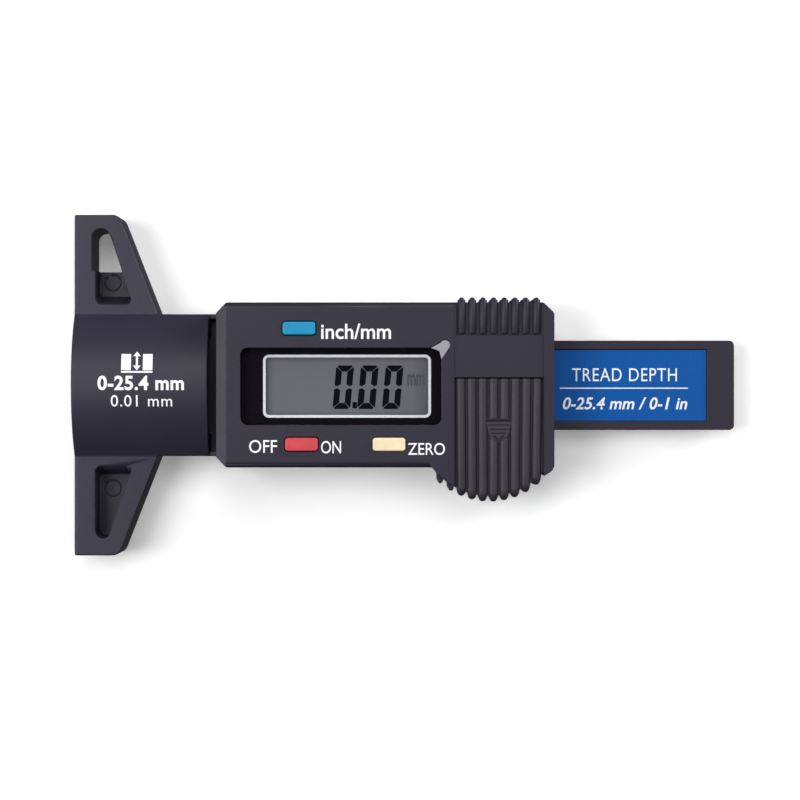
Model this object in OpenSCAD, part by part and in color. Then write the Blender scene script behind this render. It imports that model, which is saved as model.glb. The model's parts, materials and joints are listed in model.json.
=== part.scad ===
// Digital tyre tread depth gauge, lying on its back with the display facing up (+Z).
// X runs along the beam: the measuring face of the foot is at -X, the thumb end of the beam at +X.
// The origin is the middle of the underside of the whole gauge at rest (probe flush, display at zero).

/* [Overall] */
// Length of the neck, from the measuring face to the housing
neck_len = 23.2; // [21:0.1:26]
// Length of the housing along the beam
housing_len = 53.9; // [53:0.1:66]
// Width of the housing across the beam
housing_w = 26.3; // [26.3:0.1:34]
// Thickness of the housing, back to front
housing_h = 16; // [16:0.1:20]
// Span of the foot across the tread
foot_span = 55; // [48:0.5:70]
// Measuring travel of the beam
travel = 25.4; // [18:0.1:28]

/* [Foot] */
// Thickness of the foot and the neck
foot_h = 9.8; // [9:0.1:11]
// Width of a wing at its tip
wing_tip_w = 7.2; // [6.5:0.1:9]
// Width of a wing where it meets the neck
wing_root_w = 13.5; // [12:0.1:16]
// Corner radius of the wing tip
wing_tip_r = 1.5; // [1:0.1:3]
// Width of the neck
neck_w = 22.9; // [22:0.1:23]
// Height of the hood's crest above the back
hood_top = 14.6; // [12:0.1:15.5]
// Open slit between the hood and the housing
hood_slit = 1.4; // [1:0.1:2.5]
// Wall of the hood over its core
hood_wall = 1.8; // [1.2:0.1:2.5]
// Wall behind the measuring face
face_wall = 2; // [1.6:0.1:3]
// Length of the tongue that the housing clamps
tongue_len = 6.4; // [6:0.1:6.8]
// Wall between a floored wing pocket and the measuring face
pocket_face_wall = 3.4; // [2.8:0.1:3.8]
// Wall between the pierced slot and the measuring face
slot_face_wall = 2.8; // [2:0.1:3.2]
// Wall between a wing pocket and the slanted edge
pocket_edge_wall = 3.1; // [2:0.1:3.4]
// Wall between a floored wing pocket and the wing tip
pocket_tip_wall = 2.8; // [1.5:0.1:4]
// Wall between the pierced slot and the wing tip
slot_tip_wall = 2.3; // [1.5:0.1:4]
// Land between a wing pocket and the hood
pocket_root_land = 1.6; // [1:0.1:3]
// Floor under a wing pocket
pocket_floor = 5; // [1:0.1:7]
// Length of the floored part of the pocket that is pierced further out
pierced_from = 5.4; // [3:0.1:8]
// Radius of a floored wing pocket at its narrow end
pocket_tip_r = 1.2; // [0.8:0.05:1.3]
// Radius of the pierced slot at its narrow end
slot_tip_r = 1.5; // [1:0.05:1.6]
// Radius of a wing pocket's other corners
pocket_r = 0.8; // [0.5:0.05:1]

/* [Housing shell] */
// Wall of the housing's sides
side_wall = 1.5; // [1.2:0.1:1.7]
// Wall of the back
rear_wall = 1.5; // [1.4:0.1:2]
// Wall of the front
front_wall = 1.5; // [1.3:0.1:1.8]
// Height of the joint between the two covers
split_z = 8; // [7.6:0.1:8]
// Cut across the housing's upright corners
corner_cut = 1.7; // [1:0.1:2]
// Width of the bevel at the foot end of the front
bevel_w = 1.6; // [1:0.1:2.2]
// Drop of that bevel
bevel_drop = 1.3; // [0.8:0.1:1.4]
// Radius of the long front edges
edge_r = 1; // [0.5:0.1:1.4]
// Radius of the round battery bulge
bulge_r = 11.6; // [11.2:0.1:12.4]
// Distance of the bulge's axis from the thumb end of the housing
bulge_in = 10.25; // [9.8:0.05:10.8]
// Distance of the bulge's axis below the beam's axis
bulge_down = 6.1; // [5.8:0.1:7]
// Radius between the bulge and the thumb end
bulge_corner_r = 1.6; // [1:0.1:2]

/* [Ribs] */
// Pitch of the finger ribs and the edge teeth
rib_pitch = 1.7; // [1.6:0.01:1.74]
// Radius of a finger rib
rib_r = 0.62; // [0.4:0.01:0.7]
// Height of a finger rib above its floor
rib_h = 0.7; // [0.5:0.05:0.75]
// Number of finger ribs beside the top edge
rib_count = 8; // [4:1:8]
// Number of teeth around the bulge
tooth_count = 10; // [6:1:10]
// Reach of an edge tooth
tooth_h = 0.8; // [0.4:0.05:1]
// Radius of an edge tooth
tooth_r = 0.42; // [0.3:0.01:0.5]
// Length of the ribbed field down the front
rib_field = 5.2; // [3:0.1:6]
// Sink of the panel that carries the ribs
panel_sink = 0.2; // [0.1:0.05:0.4]

/* [Display] */
// Length of the window
window_len = 32; // [30:0.1:32.4]
// Height of the window
window_w = 12.25; // [11:0.05:12.6]
// Distance of the window from the foot end of the housing
window_in = 3.95; // [3.6:0.05:4.2]
// Offset of the window's middle from the beam's axis
window_shift = -0.25; // [-0.5:0.05:0.5]
// Corner radius of the window
window_r = 1.2; // [0.6:0.1:2]
// Sink of the lens below the front
lens_sink = 0.9; // [0.3:0.1:1.2]
// Width of the lens flange behind the front wall
lens_flange = 0.9; // [0.5:0.1:1]
// Thickness of the lens flange
lens_t = 1.1; // [0.8:0.1:1.4]
// Radius of the lens gate tab
gate_r = 0.82; // [0.5:0.02:1]
// Thickness of the liquid crystal glass
lcd_t = 1.7; // [1.4:0.1:2]
// Length of the liquid crystal glass
lcd_len = 27.8; // [26:0.1:28]
// Height of the liquid crystal glass
lcd_w = 12.4; // [11:0.1:12.6]

/* [Buttons] */
// Length of a button
button_len = 5.2; // [4:0.1:5.4]
// Width of a button
button_w = 2.1; // [1.6:0.1:2.4]
// Height of a button above the front
button_proud = 0.45; // [0.2:0.05:0.8]
// Travel of a button
button_travel = 0.5; // [0.3:0.05:0.6]
// Corner radius of a button
button_r = 0.5; // [0.2:0.05:0.8]
// Distance of the unit button from the foot end of the housing
unit_in = 13.3; // [13:0.1:14]
// Distance of the power button from the foot end of the housing
power_in = 13.7; // [13:0.1:15]
// Distance of the zero button from the foot end of the housing
zero_in = 27.6; // [26:0.1:28.4]
// Distance of the upper button from the housing's edge
upper_button_in = 4.15; // [3.9:0.05:4.3]
// Distance of the lower buttons from the housing's edge
lower_button_in = 3.7; // [3.6:0.05:4]

/* [Battery bay] */
// Diameter of the coin cell
cell_d = 11.6; // [11:0.1:12]
// Thickness of the coin cell
cell_t = 5.4; // [5:0.1:5.5]
// Width of the battery cover
cover_w = 14; // [13.4:0.1:14.4]
// Distance of the cover's middle from the thumb end of the housing
cover_in = 8.8; // [8.75:0.01:9.1]
// Inner end of the cover above the beam's axis
cover_top = 1.1; // [0.9:0.1:1.6]
// Thickness of the cover without its ribs
cover_t = 0.8; // [0.7:0.05:1]
// Reach of the cover's side lips
lip_w = 0.55; // [0.3:0.05:0.6]
// Travel of the cover until it comes free
cover_travel = 18.5; // [18:0.5:24]

/* [Beam] */
// Width of the beam
beam_w = 14.56; // [13.6:0.02:14.6]
// Thickness of the beam
beam_t = 4; // [3.4:0.1:4]
// Length of the thumb block at the end of the beam
thumb_len = 4.5; // [3.5:0.1:8]
// Corner radius of the beam's end
beam_end_r = 0.8; // [0.3:0.1:2]
// Width of the scale and its label
label_w = 11.6; // [10:0.1:12.6]
// Thickness of the scale strip
scale_t = 0.6; // [0.4:0.05:0.7]
// Thickness of the label
label_t = 0.2; // [0.1:0.05:0.3]
// Sink of the label below the beam's rim
label_sink = 0.2; // [0.1:0.05:0.3]
// Diameter of the probe
probe_d = 2; // [1.2:0.1:2]
// Depth of the probe's seat in the beam
probe_seat = 8; // [5:0.5:9]

/* [Board and fasteners] */
// Thickness of the circuit board
board_t = 1; // [0.8:0.1:1.2]
// Shank diameter of the screws
screw_d = 1.7; // [1.4:0.1:1.8]
// Head diameter of the screws
screw_head_d = 3; // [2.6:0.1:3.1]
// Head height of the screws
screw_head_h = 0.85; // [0.7:0.05:0.95]

/* [Fits] */
// Sliding clearance on each side of the beam
beam_fit = 0.09; // [0.06:0.01:0.12]
// Clearance above and below the beam
beam_gap = 0.2; // [0.15:0.01:0.25]
// Radial running clearance of the probe
probe_fit = 0.05; // [0.03:0.01:0.08]
// Clearance between moulded parts that sit in one another
seat_fit = 0.05; // [0.02:0.01:0.08]
// Clearance round the buttons and the battery cover
slide_fit = 0.12; // [0.1:0.01:0.15]
// Radial clearance of a screw in its pilot hole
thread_fit = 0.02; // [0.01:0.01:0.04]

/* [Hidden] */
$fn = 48;
eps = 0.1;
tiny = 0.02;

overall_len = neck_len + housing_len + travel + thumb_len;
face_x = -overall_len / 2;
hx0 = face_x + neck_len;
hx1 = hx0 + housing_len;
hy = housing_w / 2;

// Heights of the layers, back to front.
beam_z0 = rear_wall + beam_gap;
beam_z1 = beam_z0 + beam_t;
board_z0 = beam_z1 + beam_gap;
board_z1 = board_z0 + board_t;
front_z0 = housing_h - front_wall;
lens_z1 = front_z0 - tiny;
lens_z0 = lens_z1 - lens_t;
lcd_gap = 0.4;
lcd_z1 = lens_z0 - lcd_gap;
lcd_z0 = lcd_z1 - lcd_t;
rib_floor_z = housing_h - rib_h;
panel_z = housing_h - panel_sink;

// Foot.
neck_y = neck_w / 2;
wing_slope = atan((wing_root_w - wing_tip_w) / (foot_span / 2 - neck_y));
hood_rise = hood_top - foot_h;
hood_r = (neck_y * neck_y + hood_rise * hood_rise) / (2 * hood_rise);
hood_axis_z = hood_top - hood_r;
tongue_x = hx0 + tongue_len;
channel_roof = 1.5;
slit_floor_z = board_z0 + channel_roof;
slit_end_wall = 0.8;
pocket_draft = 0.1;
root_draft = 1.3;
ejector_r = 1.3;
ejector_depth = 0.12;
ejector_from_root = 2.4;
ejector_from_wall = 2.3;

// Beam: at full travel its lugged end stops short of the wall behind the measuring face.
lug_len = 2;
lug_w = 0.9;
end_gap = 0.5;
stop_gap = 0.05;
rail_after_tongue = 0.3;
beam_x0 = max(face_x + face_wall + end_gap + travel, tongue_x + rail_after_tongue - stop_gap - lug_len);
beam_x1 = overall_len / 2;
rail_x0 = beam_x0 + lug_len + stop_gap;
channel_y = beam_w / 2 + beam_fit;
lug_channel_y = beam_w / 2 + lug_w + beam_fit;
rail_y = channel_y + 1.5;
probe_z = (beam_z0 + beam_z1) / 2;
label_x0 = beam_x0 + probe_seat + 2;
label_x1 = beam_x1 - thumb_len;
label_depth = scale_t + label_t + label_sink;
back_recess = 0.3;

// Bulge and battery bay.
bulge_x = hx1 - bulge_in;
bulge_y = -bulge_down;
corner_x = hx1 - bulge_corner_r;
corner_y = -hy + 0.55;
corner_dist = norm([corner_x - bulge_x, corner_y - bulge_y]);
corner_turn = atan2(corner_y - bulge_y, corner_x - bulge_x) - acos((bulge_r - bulge_corner_r) / corner_dist);
cover_x = hx1 - cover_in;
cover_z0 = rib_floor_z - cover_t;
lip_t = 0.6;
cell_x = cover_x;
cell_y = bulge_y + 0.1;
cell_gap = 0.15;
contact_t = 0.2;
cell_z1 = cover_z0 - cell_gap;
cell_z0 = cell_z1 - cell_t;
tray_t = 0.7;
tray_z1 = cell_z0 - tiny - contact_t;
tray_z0 = tray_z1 - tray_t;
cup_r = cell_d / 2 + 0.25;
cup_wall = 0.9;
skirt_z0 = tray_z1 + slide_fit;
cover_rib_pitch = cover_w / 8;
cover_rib_r = cover_rib_pitch * 0.4;
first_rib_x = cover_x - 3.5 * rib_pitch;

// Display.
window_x0 = hx0 + window_in;
window_x1 = window_x0 + window_len;
window_x = (window_x0 + window_x1) / 2;
window_y = window_shift;
gate_x = window_x1 + 0.6;
gate_y = window_y + window_w / 2 + 0.45;
lcd_x = window_x + 1.15;
holder_rim = 0.2;
holder_wall = 2.2;
zebra_t = 1.1;
zebra_len = 22;
zebra_y = window_y - lcd_w / 2 + 1.1;

// Buttons.
unit_at = [hx0 + unit_in, hy - upper_button_in];
power_at = [hx0 + power_in, -hy + lower_button_in];
zero_at = [hx0 + zero_in, -hy + lower_button_in];
button_flange = 0.5;
button_flange_t = 0.9;
button_stem = 2;
dome_h = 0.3;
dome_r = 2;
dome_top_r = 1.1;

// Gib spring, bowed towards the lower edge of the beam.
gib_x = hx0 + 26;
gib_len = 11;
gib_t = 0.25;
gib_rise = 0.7;
gib_room = 1;
gib_play = 0.2;

// Fasteners.
boss_r = 1.6;
boss_y = 9.6 + (housing_w - 26.3) / 2;
left_boss_x = tongue_x + boss_r + 0.45;
right_boss_x = min(cover_x - cover_w / 2 - lip_w - boss_r - 1.9, hx1 - side_wall - boss_r);
housing_screw_at = [[left_boss_x, boss_y], [left_boss_x, -boss_y], [right_boss_x, -boss_y], [hx1 - 3.5, boss_y]];
// Way in which the board's notch round each boss opens along X
notch_way = [-1, -1, 0, 1];
foot_screw_at = [[hx0 + 3.3, (lug_channel_y + neck_y) / 2], [hx0 + 3.3, -(lug_channel_y + neck_y) / 2]];
pilot_r = screw_d / 2 + thread_fit;
head_sink = 0.05;
housing_screw_len = 9.5;
foot_screw_len = 6;
cross_w = 0.35;
cross_len = 1.7;
cross_depth = 0.5;

// ---- helpers ----

// Block between two opposite corners.
module block(lo, hi) {
    translate(lo) cube(hi - lo);
}

// Cylinder along X from one x to another.
module rod_x(x0, x1, y, z, r) {
    translate([x0, y, z]) rotate([0, 90, 0]) cylinder(r = r, h = x1 - x0);
}

// Cylinder along Y from one y to another.
module rod_y(y0, y1, x, z, r) {
    translate([x, y0, z]) rotate([-90, 0, 0]) cylinder(r = r, h = y1 - y0);
}

// Flat rectangle with round corners, centred.
module round_rect(len, wid, r) {
    square([len - 2 * r, wid], center = true);
    square([len, wid - 2 * r], center = true);
    for (sx = [-1, 1], sy = [-1, 1]) {
        translate([sx * (len / 2 - r), sy * (wid / 2 - r)]) circle(r);
    }
}

// Cap of a sphere with a given base radius and rise, standing on z = 0.
module cap(base_r, rise) {
    ball_r = (base_r * base_r + rise * rise) / (2 * rise);
    intersection() {
        translate([0, 0, rise - ball_r]) sphere(ball_r);
        cylinder(r = base_r, h = rise);
    }
}

// ---- foot ----

// X of the slanted wing edge at a distance y from the beam's axis.
function edge_x(y) = face_x + wing_root_w - (y - neck_y) * tan(wing_slope);

// One wing in plan, on the +Y side.
module wing_plan() {
    tip_y = foot_span / 2;
    round_y = tip_y - wing_tip_r;
    round_x = edge_x(round_y) - wing_tip_r / cos(wing_slope);
    polygon([
        [face_x, 0],
        [face_x, tip_y],
        [round_x, tip_y],
        [round_x + wing_tip_r * cos(wing_slope), round_y + wing_tip_r * sin(wing_slope)],
        [edge_x(neck_y), neck_y],
        [edge_x(neck_y), 0],
    ]);
    translate([round_x, round_y]) circle(wing_tip_r);
}

// Drafted pocket in the +Y wing, down to a given height, with its walls and the radius of its narrow end.
module wing_pocket(z0, left_wall, tip_wall, tip_r) {
    tip_y = foot_span / 2 - tip_wall - tip_r;
    left_x = face_x + left_wall;
    low_y = neck_y + pocket_root_land + pocket_r;
    low_x = edge_x(low_y) - (pocket_edge_wall + pocket_r) / cos(wing_slope);
    tip_x = max(left_x + tip_r, edge_x(tip_y) - (pocket_edge_wall + tip_r) / cos(wing_slope));
    hull() {
        translate([0, 0, foot_h]) {
            translate([tip_x, tip_y, 0]) cylinder(r = tip_r, h = eps, $fn = 32);
            translate([left_x + pocket_r, low_y, 0]) cylinder(r = pocket_r, h = eps, $fn = 32);
            translate([low_x, low_y, 0]) cylinder(r = pocket_r, h = eps, $fn = 32);
        }
        translate([0, 0, z0]) {
            translate([tip_x, tip_y - pocket_draft, 0]) cylinder(r = tip_r - pocket_draft, h = eps, $fn = 32);
            translate([left_x + pocket_r + pocket_draft, low_y + root_draft, 0])
                cylinder(r = pocket_r, h = eps, $fn = 32);
            translate([low_x - pocket_draft, low_y + root_draft, 0])
                cylinder(r = pocket_r, h = eps, $fn = 32);
        }
    }
}

module floored_pocket() {
    wing_pocket(pocket_floor, pocket_face_wall, pocket_tip_wall, pocket_tip_r);
}

module ejector_mark() {
    mark_y = neck_y + pocket_root_land + root_draft + ejector_from_root;
    mark_x = face_x + pocket_face_wall + ejector_from_wall;
    translate([mark_x, mark_y, pocket_floor - ejector_depth]) cylinder(r = ejector_r, h = 1);
}

// Rounded hood over the neck, solid.
module hood(r, x0, x1, half_w, z0) {
    intersection() {
        rod_x(x0, x1, 0, hood_axis_z, r);
        block([x0, -half_w, z0], [x1, half_w, hood_top + 1]);
    }
}

module base_foot() {
    hood_x1 = hx0 - hood_slit;
    color([0.225, 0.215, 0.25])
    difference() {
        union() {
            linear_extrude(foot_h) {
                wing_plan();
                mirror([0, 1]) wing_plan();
            }
            block([face_x, -neck_y, 0], [hx0 - seat_fit, neck_y, foot_h]);
            block([hx0 - 1, -neck_y, rear_wall + seat_fit], [tongue_x, neck_y, foot_h]);
            hood(hood_r, face_x, hood_x1, neck_y, foot_h - eps);
        }
        // Channel for the beam and its lugs
        block([face_x + face_wall, -lug_channel_y, rear_wall], [tongue_x + 1, lug_channel_y, board_z0]);
        block([hx0 - seat_fit, -lug_channel_y, 0], [tongue_x + 1, lug_channel_y, board_z0]);
        // Core of the hood, open towards the slit
        hood(hood_r - hood_wall, face_x + face_wall, hood_x1 + 1, neck_y - hood_wall, foot_h);
        block([face_x + face_wall, -neck_y + 2 * hood_wall, board_z0 + channel_roof],
              [hood_x1, neck_y - 2 * hood_wall, foot_h + eps]);
        // Slit between the hood and the housing
        block([hood_x1, -neck_y + slit_end_wall, slit_floor_z], [hx0 - seat_fit, neck_y - slit_end_wall, foot_h + 1]);
        // Probe hole
        rod_x(face_x - 1, face_x + face_wall + 1, 0, probe_z, probe_d / 2 + probe_fit);
        // Wing pockets: the upper one is pierced beyond its floored part
        floored_pocket();
        ejector_mark();
        intersection() {
            wing_pocket(-eps, slot_face_wall, slot_tip_wall, slot_tip_r);
            block([face_x, neck_y + pocket_root_land + pierced_from, -1], [hx0, foot_span, foot_h]);
        }
        mirror([0, 1, 0]) {
            floored_pocket();
            ejector_mark();
        }
        for (p = foot_screw_at) {
            translate([p.x, p.y, rear_wall]) cylinder(r = pilot_r, h = foot_screw_len + 1);
        }
    }
}

// ---- housing ----

// Rectangular part of the housing in plan, with its cut corners.
module housing_plan() {
    polygon([
        [hx0, hy - corner_cut],
        [hx0 + corner_cut, hy],
        [hx1 - corner_cut, hy],
        [hx1, hy - corner_cut],
        [hx1, corner_y],
        [hx1 - bulge_corner_r, -hy],
        [hx0 + corner_cut, -hy],
        [hx0, -hy + corner_cut],
    ]);
}

// Round battery bulge in plan, cut off in line with the thumb end and blended into it by a tangent corner.
module bulge_plan() {
    turn = [cos(corner_turn), sin(corner_turn)];
    intersection() {
        translate([bulge_x, bulge_y]) circle(bulge_r);
        translate([hx0, -housing_len]) square([housing_len, housing_len]);
    }
    translate([corner_x, corner_y]) circle(bulge_corner_r);
    polygon([
        [bulge_x, bulge_y],
        [bulge_x, bulge_y] + bulge_r * turn,
        [corner_x, corner_y] + bulge_corner_r * turn,
        [corner_x, corner_y],
    ]);
}

// Reach of the bulge towards -Y at a given x, for a given radius.
function bulge_edge(x, r) = bulge_y - sqrt(r * r - (x - bulge_x) * (x - bulge_x));

function tooth_x(i) = first_rib_x + i * rib_pitch;

// Teeth along the top edge between two heights.
module top_teeth(z0, z1) {
    for (i = [0 : rib_count - 1]) {
        translate([tooth_x(i), hy + tooth_h - tooth_r, z0]) cylinder(r = tooth_r, h = z1 - z0);
        block([tooth_x(i) - tooth_r, hy - side_wall / 2, z0], [tooth_x(i) + tooth_r, hy + tooth_h - tooth_r, z1]);
    }
}

// Teeth around the bulge between two heights; numbers below zero stand before the cover's first rib.
module bulge_teeth(first, last, z0, z1) {
    for (i = [first : last]) {
        tip = bulge_edge(tooth_x(i), bulge_r + tooth_h) + tooth_r;
        root = bulge_edge(tooth_x(i), bulge_r - side_wall / 2);
        translate([tooth_x(i), tip, z0]) cylinder(r = tooth_r, h = z1 - z0);
        block([tooth_x(i) - tooth_r, tip, z0], [tooth_x(i) + tooth_r, root, z1]);
    }
}

// Hollow of a cover between two heights.
module housing_hollow(z0, z1) {
    block([hx0 + side_wall, -hy + side_wall, z0], [hx1 - side_wall, hy - side_wall, z1]);
    intersection() {
        translate([bulge_x, bulge_y, z0]) cylinder(r = bulge_r - side_wall, h = z1 - z0);
        block([hx0, -housing_len, z0], [hx1 - side_wall, 0, z1]);
    }
}

module rear_cover() {
    tooth_z0 = 0.8;
    standoff_r = boss_r + 0.35;
    color([0.2, 0.19, 0.22])
    difference() {
        union() {
            difference() {
                linear_extrude(split_z) {
                    housing_plan();
                    bulge_plan();
                }
                housing_hollow(rear_wall, split_z + 1);
            }
            // Rails that guide the beam and carry the board
            for (s = [-1, 1]) {
                block([rail_x0, min(s * channel_y, s * rail_y), rear_wall - eps],
                      [hx1 - side_wall + eps, max(s * channel_y, s * rail_y), board_z0 - tiny]);
            }
            for (p = housing_screw_at) {
                translate([p.x, p.y, 0]) cylinder(r = standoff_r, h = board_z0 - tiny);
            }
            top_teeth(tooth_z0, split_z);
            bulge_teeth(-2, rib_count - 1, tooth_z0, split_z);
        }
        // Open end for the neck
        block([hx0 - 1, -neck_y - seat_fit, rear_wall], [hx0 + side_wall + 1, neck_y + seat_fit, split_z + 1]);
        // Slot for the beam in the thumb end
        block([hx0 + side_wall, -channel_y, rear_wall], [hx1 + 1, channel_y, board_z0]);
        // Pocket for the gib spring
        block([gib_x - gib_len / 2 - gib_play, -channel_y - gib_room, rear_wall + 0.3],
              [gib_x + gib_len / 2 + gib_play, -channel_y + eps, board_z0]);
        for (p = concat(housing_screw_at, foot_screw_at)) {
            translate([p.x, p.y, -1]) cylinder(d = screw_head_d + 0.3, h = 1 + screw_head_h + head_sink);
            translate([p.x, p.y, 0]) cylinder(d = screw_d + 0.2, h = board_z0 + 1);
        }
    }
}

// Bent leaf that presses on the beam's lower edge.
module gib_spring() {
    leaf_r = (gib_len * gib_len / 4 + gib_rise * gib_rise) / (2 * gib_rise);
    crest_y = -channel_y + beam_fit / 2;
    color([0.72, 0.55, 0.28])
    intersection() {
        translate([gib_x, crest_y - leaf_r, rear_wall + 0.7])
            difference() {
                cylinder(r = leaf_r, h = 2.6);
                translate([0, 0, -1]) cylinder(r = leaf_r - gib_t, h = 5);
            }
        block([gib_x - gib_len / 2, crest_y - gib_room + 0.05, 0], [gib_x + gib_len / 2, 0, board_z0]);
    }
}

// Front solid before it is hollowed: round long edges and a bevel at the foot end.
module front_solid() {
    intersection() {
        translate([0, 0, split_z]) linear_extrude(housing_h - split_z) housing_plan();
        translate([hx0 - 1, 0, 0]) rotate([90, 0, 90]) linear_extrude(housing_len + 2) {
            translate([-hy, 0]) square([housing_w, housing_h - edge_r]);
            translate([-hy + edge_r, 0]) square([housing_w - 2 * edge_r, housing_h]);
            for (s = [-1, 1]) {
                translate([s * (hy - edge_r), housing_h - edge_r]) circle(edge_r);
            }
        }
        rotate([90, 0, 0]) linear_extrude(housing_w + 2, center = true) polygon([
            [hx0, 0],
            [hx1, 0],
            [hx1, housing_h],
            [hx0 + bevel_w, housing_h],
            [hx0, housing_h - bevel_drop],
        ]);
    }
    translate([0, 0, split_z]) linear_extrude(housing_h - split_z) bulge_plan();
}

// Opening that the lens, its gate tab and the light pass through.
module window_hole(grow, z0, z1) {
    translate([window_x, window_y, z0]) linear_extrude(z1 - z0)
        round_rect(window_len + 2 * grow, window_w + 2 * grow, window_r);
}

// Gate tab of the lens: a round head with a tail along each side of the window's corner.
module gate_tab(grow, z0, z1) {
    top_y = window_y + window_w / 2;
    r = gate_r + grow;
    translate([0, 0, z0]) linear_extrude(z1 - z0) {
        translate([gate_x, gate_y]) circle(r);
        polygon([
            [gate_x, gate_y + r],
            [gate_x - 2.3 - grow, top_y],
            [gate_x - 0.9, top_y - 0.5],
            [gate_x - 0.8, top_y - 1],
            [gate_x - 0.6, top_y - 1.9 - grow],
            [gate_x + r * cos(20), gate_y - r * sin(20)],
        ]);
    }
}

// Path that the battery cover slides along, with its side lips.
module cover_path(grow, y0, y1) {
    w = cover_w / 2 + grow;
    block([cover_x - w, y0, cover_z0 - grow], [cover_x + w, y1, housing_h + 1]);
    block([cover_x - w - lip_w, y0, cover_z0 - grow], [cover_x + w + lip_w, y1, cover_z0 + lip_t + grow]);
}

// Walls of the battery bay: floor, cup round the cell, rails under the cover's lips.
module battery_bay() {
    bay_x = cover_x - cover_w / 2 - lip_w;
    rail_w = 0.55;
    low_y = bulge_y - bulge_r;
    intersection() {
        union() {
            block([bay_x - rail_w, low_y, tray_z0], [hx1 - side_wall / 2, cover_top + 0.9, tray_z1]);
            translate([cell_x, cell_y, tray_z0]) cylinder(r = cup_r + cup_wall, h = cover_z0 - slide_fit - tray_z0);
            for (x0 = [bay_x - rail_w, cover_x + cover_w / 2 - 0.2]) {
                block([x0, low_y, tray_z0], [x0 + rail_w + lip_w, cover_top + 0.9, cover_z0 - slide_fit]);
            }
            block([bay_x - rail_w, cover_top + slide_fit, tray_z0], [hx1 - side_wall / 2, cover_top + 0.9, front_z0 + eps]);
        }
        translate([0, 0, tray_z0]) linear_extrude(housing_h - tray_z0) {
            housing_plan();
            bulge_plan();
        }
    }
}

module front_cover() {
    ribs_y0 = hy - rib_field;
    ribs_x0 = first_rib_x - rib_pitch / 2;
    ribs_x1 = ribs_x0 + rib_count * rib_pitch;
    panel_x1 = cover_x + cover_w / 2 + slide_fit;
    contact_w = 3.4;
    color([0.22, 0.21, 0.24])
    difference() {
        union() {
            difference() {
                front_solid();
                housing_hollow(split_z - 1, front_z0);
                // Sunk panel with the ribbed field
                block([cover_x - cover_w / 2 - slide_fit, cover_top, panel_z], [panel_x1, hy + 1, housing_h + 1]);
                block([ribs_x0, ribs_y0, rib_floor_z], [ribs_x1, hy + 1, housing_h + 1]);
            }
            intersection() {
                for (i = [0 : rib_count - 1]) {
                    rod_y(ribs_y0 + 0.2, hy + tooth_h / 2, tooth_x(i), housing_h - rib_r, rib_r);
                }
                block([hx0, ribs_y0, rib_floor_z - eps], [hx1, hy + tooth_h, housing_h]);
            }
            for (i = [0 : rib_count - 1]) {
                block([tooth_x(i) - rib_r, ribs_y0 + 0.2, rib_floor_z - eps],
                      [tooth_x(i) + rib_r, hy, housing_h - rib_r]);
            }
            top_teeth(split_z, housing_h - rib_r);
            bulge_teeth(-2, -1, split_z, housing_h - rib_r);
            for (p = housing_screw_at) {
                translate([p.x, p.y, board_z0 + tiny]) cylinder(r = boss_r, h = front_z0 + eps - board_z0 - tiny);
            }
            battery_bay();
        }
        // Notch for the neck
        block([hx0 - 1, -neck_y - seat_fit, 0], [hx0 + side_wall + eps, neck_y + seat_fit, foot_h + seat_fit]);
        window_hole(0, front_z0 - 1, housing_h + 1);
        gate_tab(seat_fit, front_z0 - 1, housing_h + 1);
        for (p = [unit_at, power_at, zero_at]) {
            translate([p.x, p.y, front_z0 - 1]) linear_extrude(front_wall + 2)
                round_rect(button_len + 2 * slide_fit, button_w + 2 * slide_fit, button_r + slide_fit);
        }
        // Way out for the battery cover, its skirt and the cell
        cover_path(slide_fit, bulge_y - bulge_r - 3, cover_top + slide_fit);
        block([cover_x - cover_w / 2 - slide_fit, bulge_y - bulge_r - 3, tray_z1],
              [cover_x + cover_w / 2 + slide_fit, cell_y - cup_r - cup_wall, housing_h + 1]);
        translate([cell_x, cell_y, tray_z1]) cylinder(r = cup_r, h = housing_h);
        // Passages for the two battery contacts
        block([cell_x - contact_w / 2, cell_y + cell_d / 2 - 1, tray_z0 - 1],
              [cell_x + contact_w / 2, cover_top - 0.1, cover_z0]);
        block([cell_x - cup_r - cup_wall - 0.7, cell_y - contact_w / 2, tray_z0 - 1],
              [cell_x - 3, cell_y + contact_w / 2, tray_z1 + 0.6]);
        for (p = housing_screw_at) {
            translate([p.x, p.y, 0]) cylinder(r = pilot_r, h = housing_screw_len + 1.5);
        }
    }
}

// ---- display ----

module display_lens() {
    color([0.35, 0.36, 0.38, 0.6]) {
        window_hole(lens_flange, lens_z0, lens_z1);
        window_hole(-seat_fit, lens_z0, housing_h - lens_sink);
        gate_tab(0, lens_z0 + lens_t / 2, housing_h - 0.15);
    }
}

module lcd_panel() {
    color([0.42, 0.44, 0.46])
    block([lcd_x - lcd_len / 2, window_y - lcd_w / 2, lcd_z0], [lcd_x + lcd_len / 2, window_y + lcd_w / 2, lcd_z1]);
}

module lcd_holder() {
    half = [lcd_len / 2 + holder_rim, lcd_w / 2 + holder_rim];
    z0 = board_z1 + tiny;
    color([0.85, 0.85, 0.83])
    difference() {
        block([lcd_x - half.x, window_y - half.y, z0], [lcd_x + half.x, window_y + half.y, lcd_z0 - tiny]);
        block([lcd_x - half.x + 1.2, zebra_y + zebra_t + 0.5, z0 - 1],
              [lcd_x + half.x - 1.2, window_y + half.y - 1.2, lcd_z0]);
        block([lcd_x - zebra_len / 2 - 0.1, zebra_y - zebra_t / 2 - 0.05, z0 - 1],
              [lcd_x + zebra_len / 2 + 0.1, zebra_y + zebra_t / 2 + 0.05, lcd_z0]);
    }
}

module zebra_strip() {
    color([0.8, 0.55, 0.6])
    block([lcd_x - zebra_len / 2, zebra_y - zebra_t / 2, board_z1], [lcd_x + zebra_len / 2, zebra_y + zebra_t / 2, lcd_z0]);
}

// ---- board ----

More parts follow.
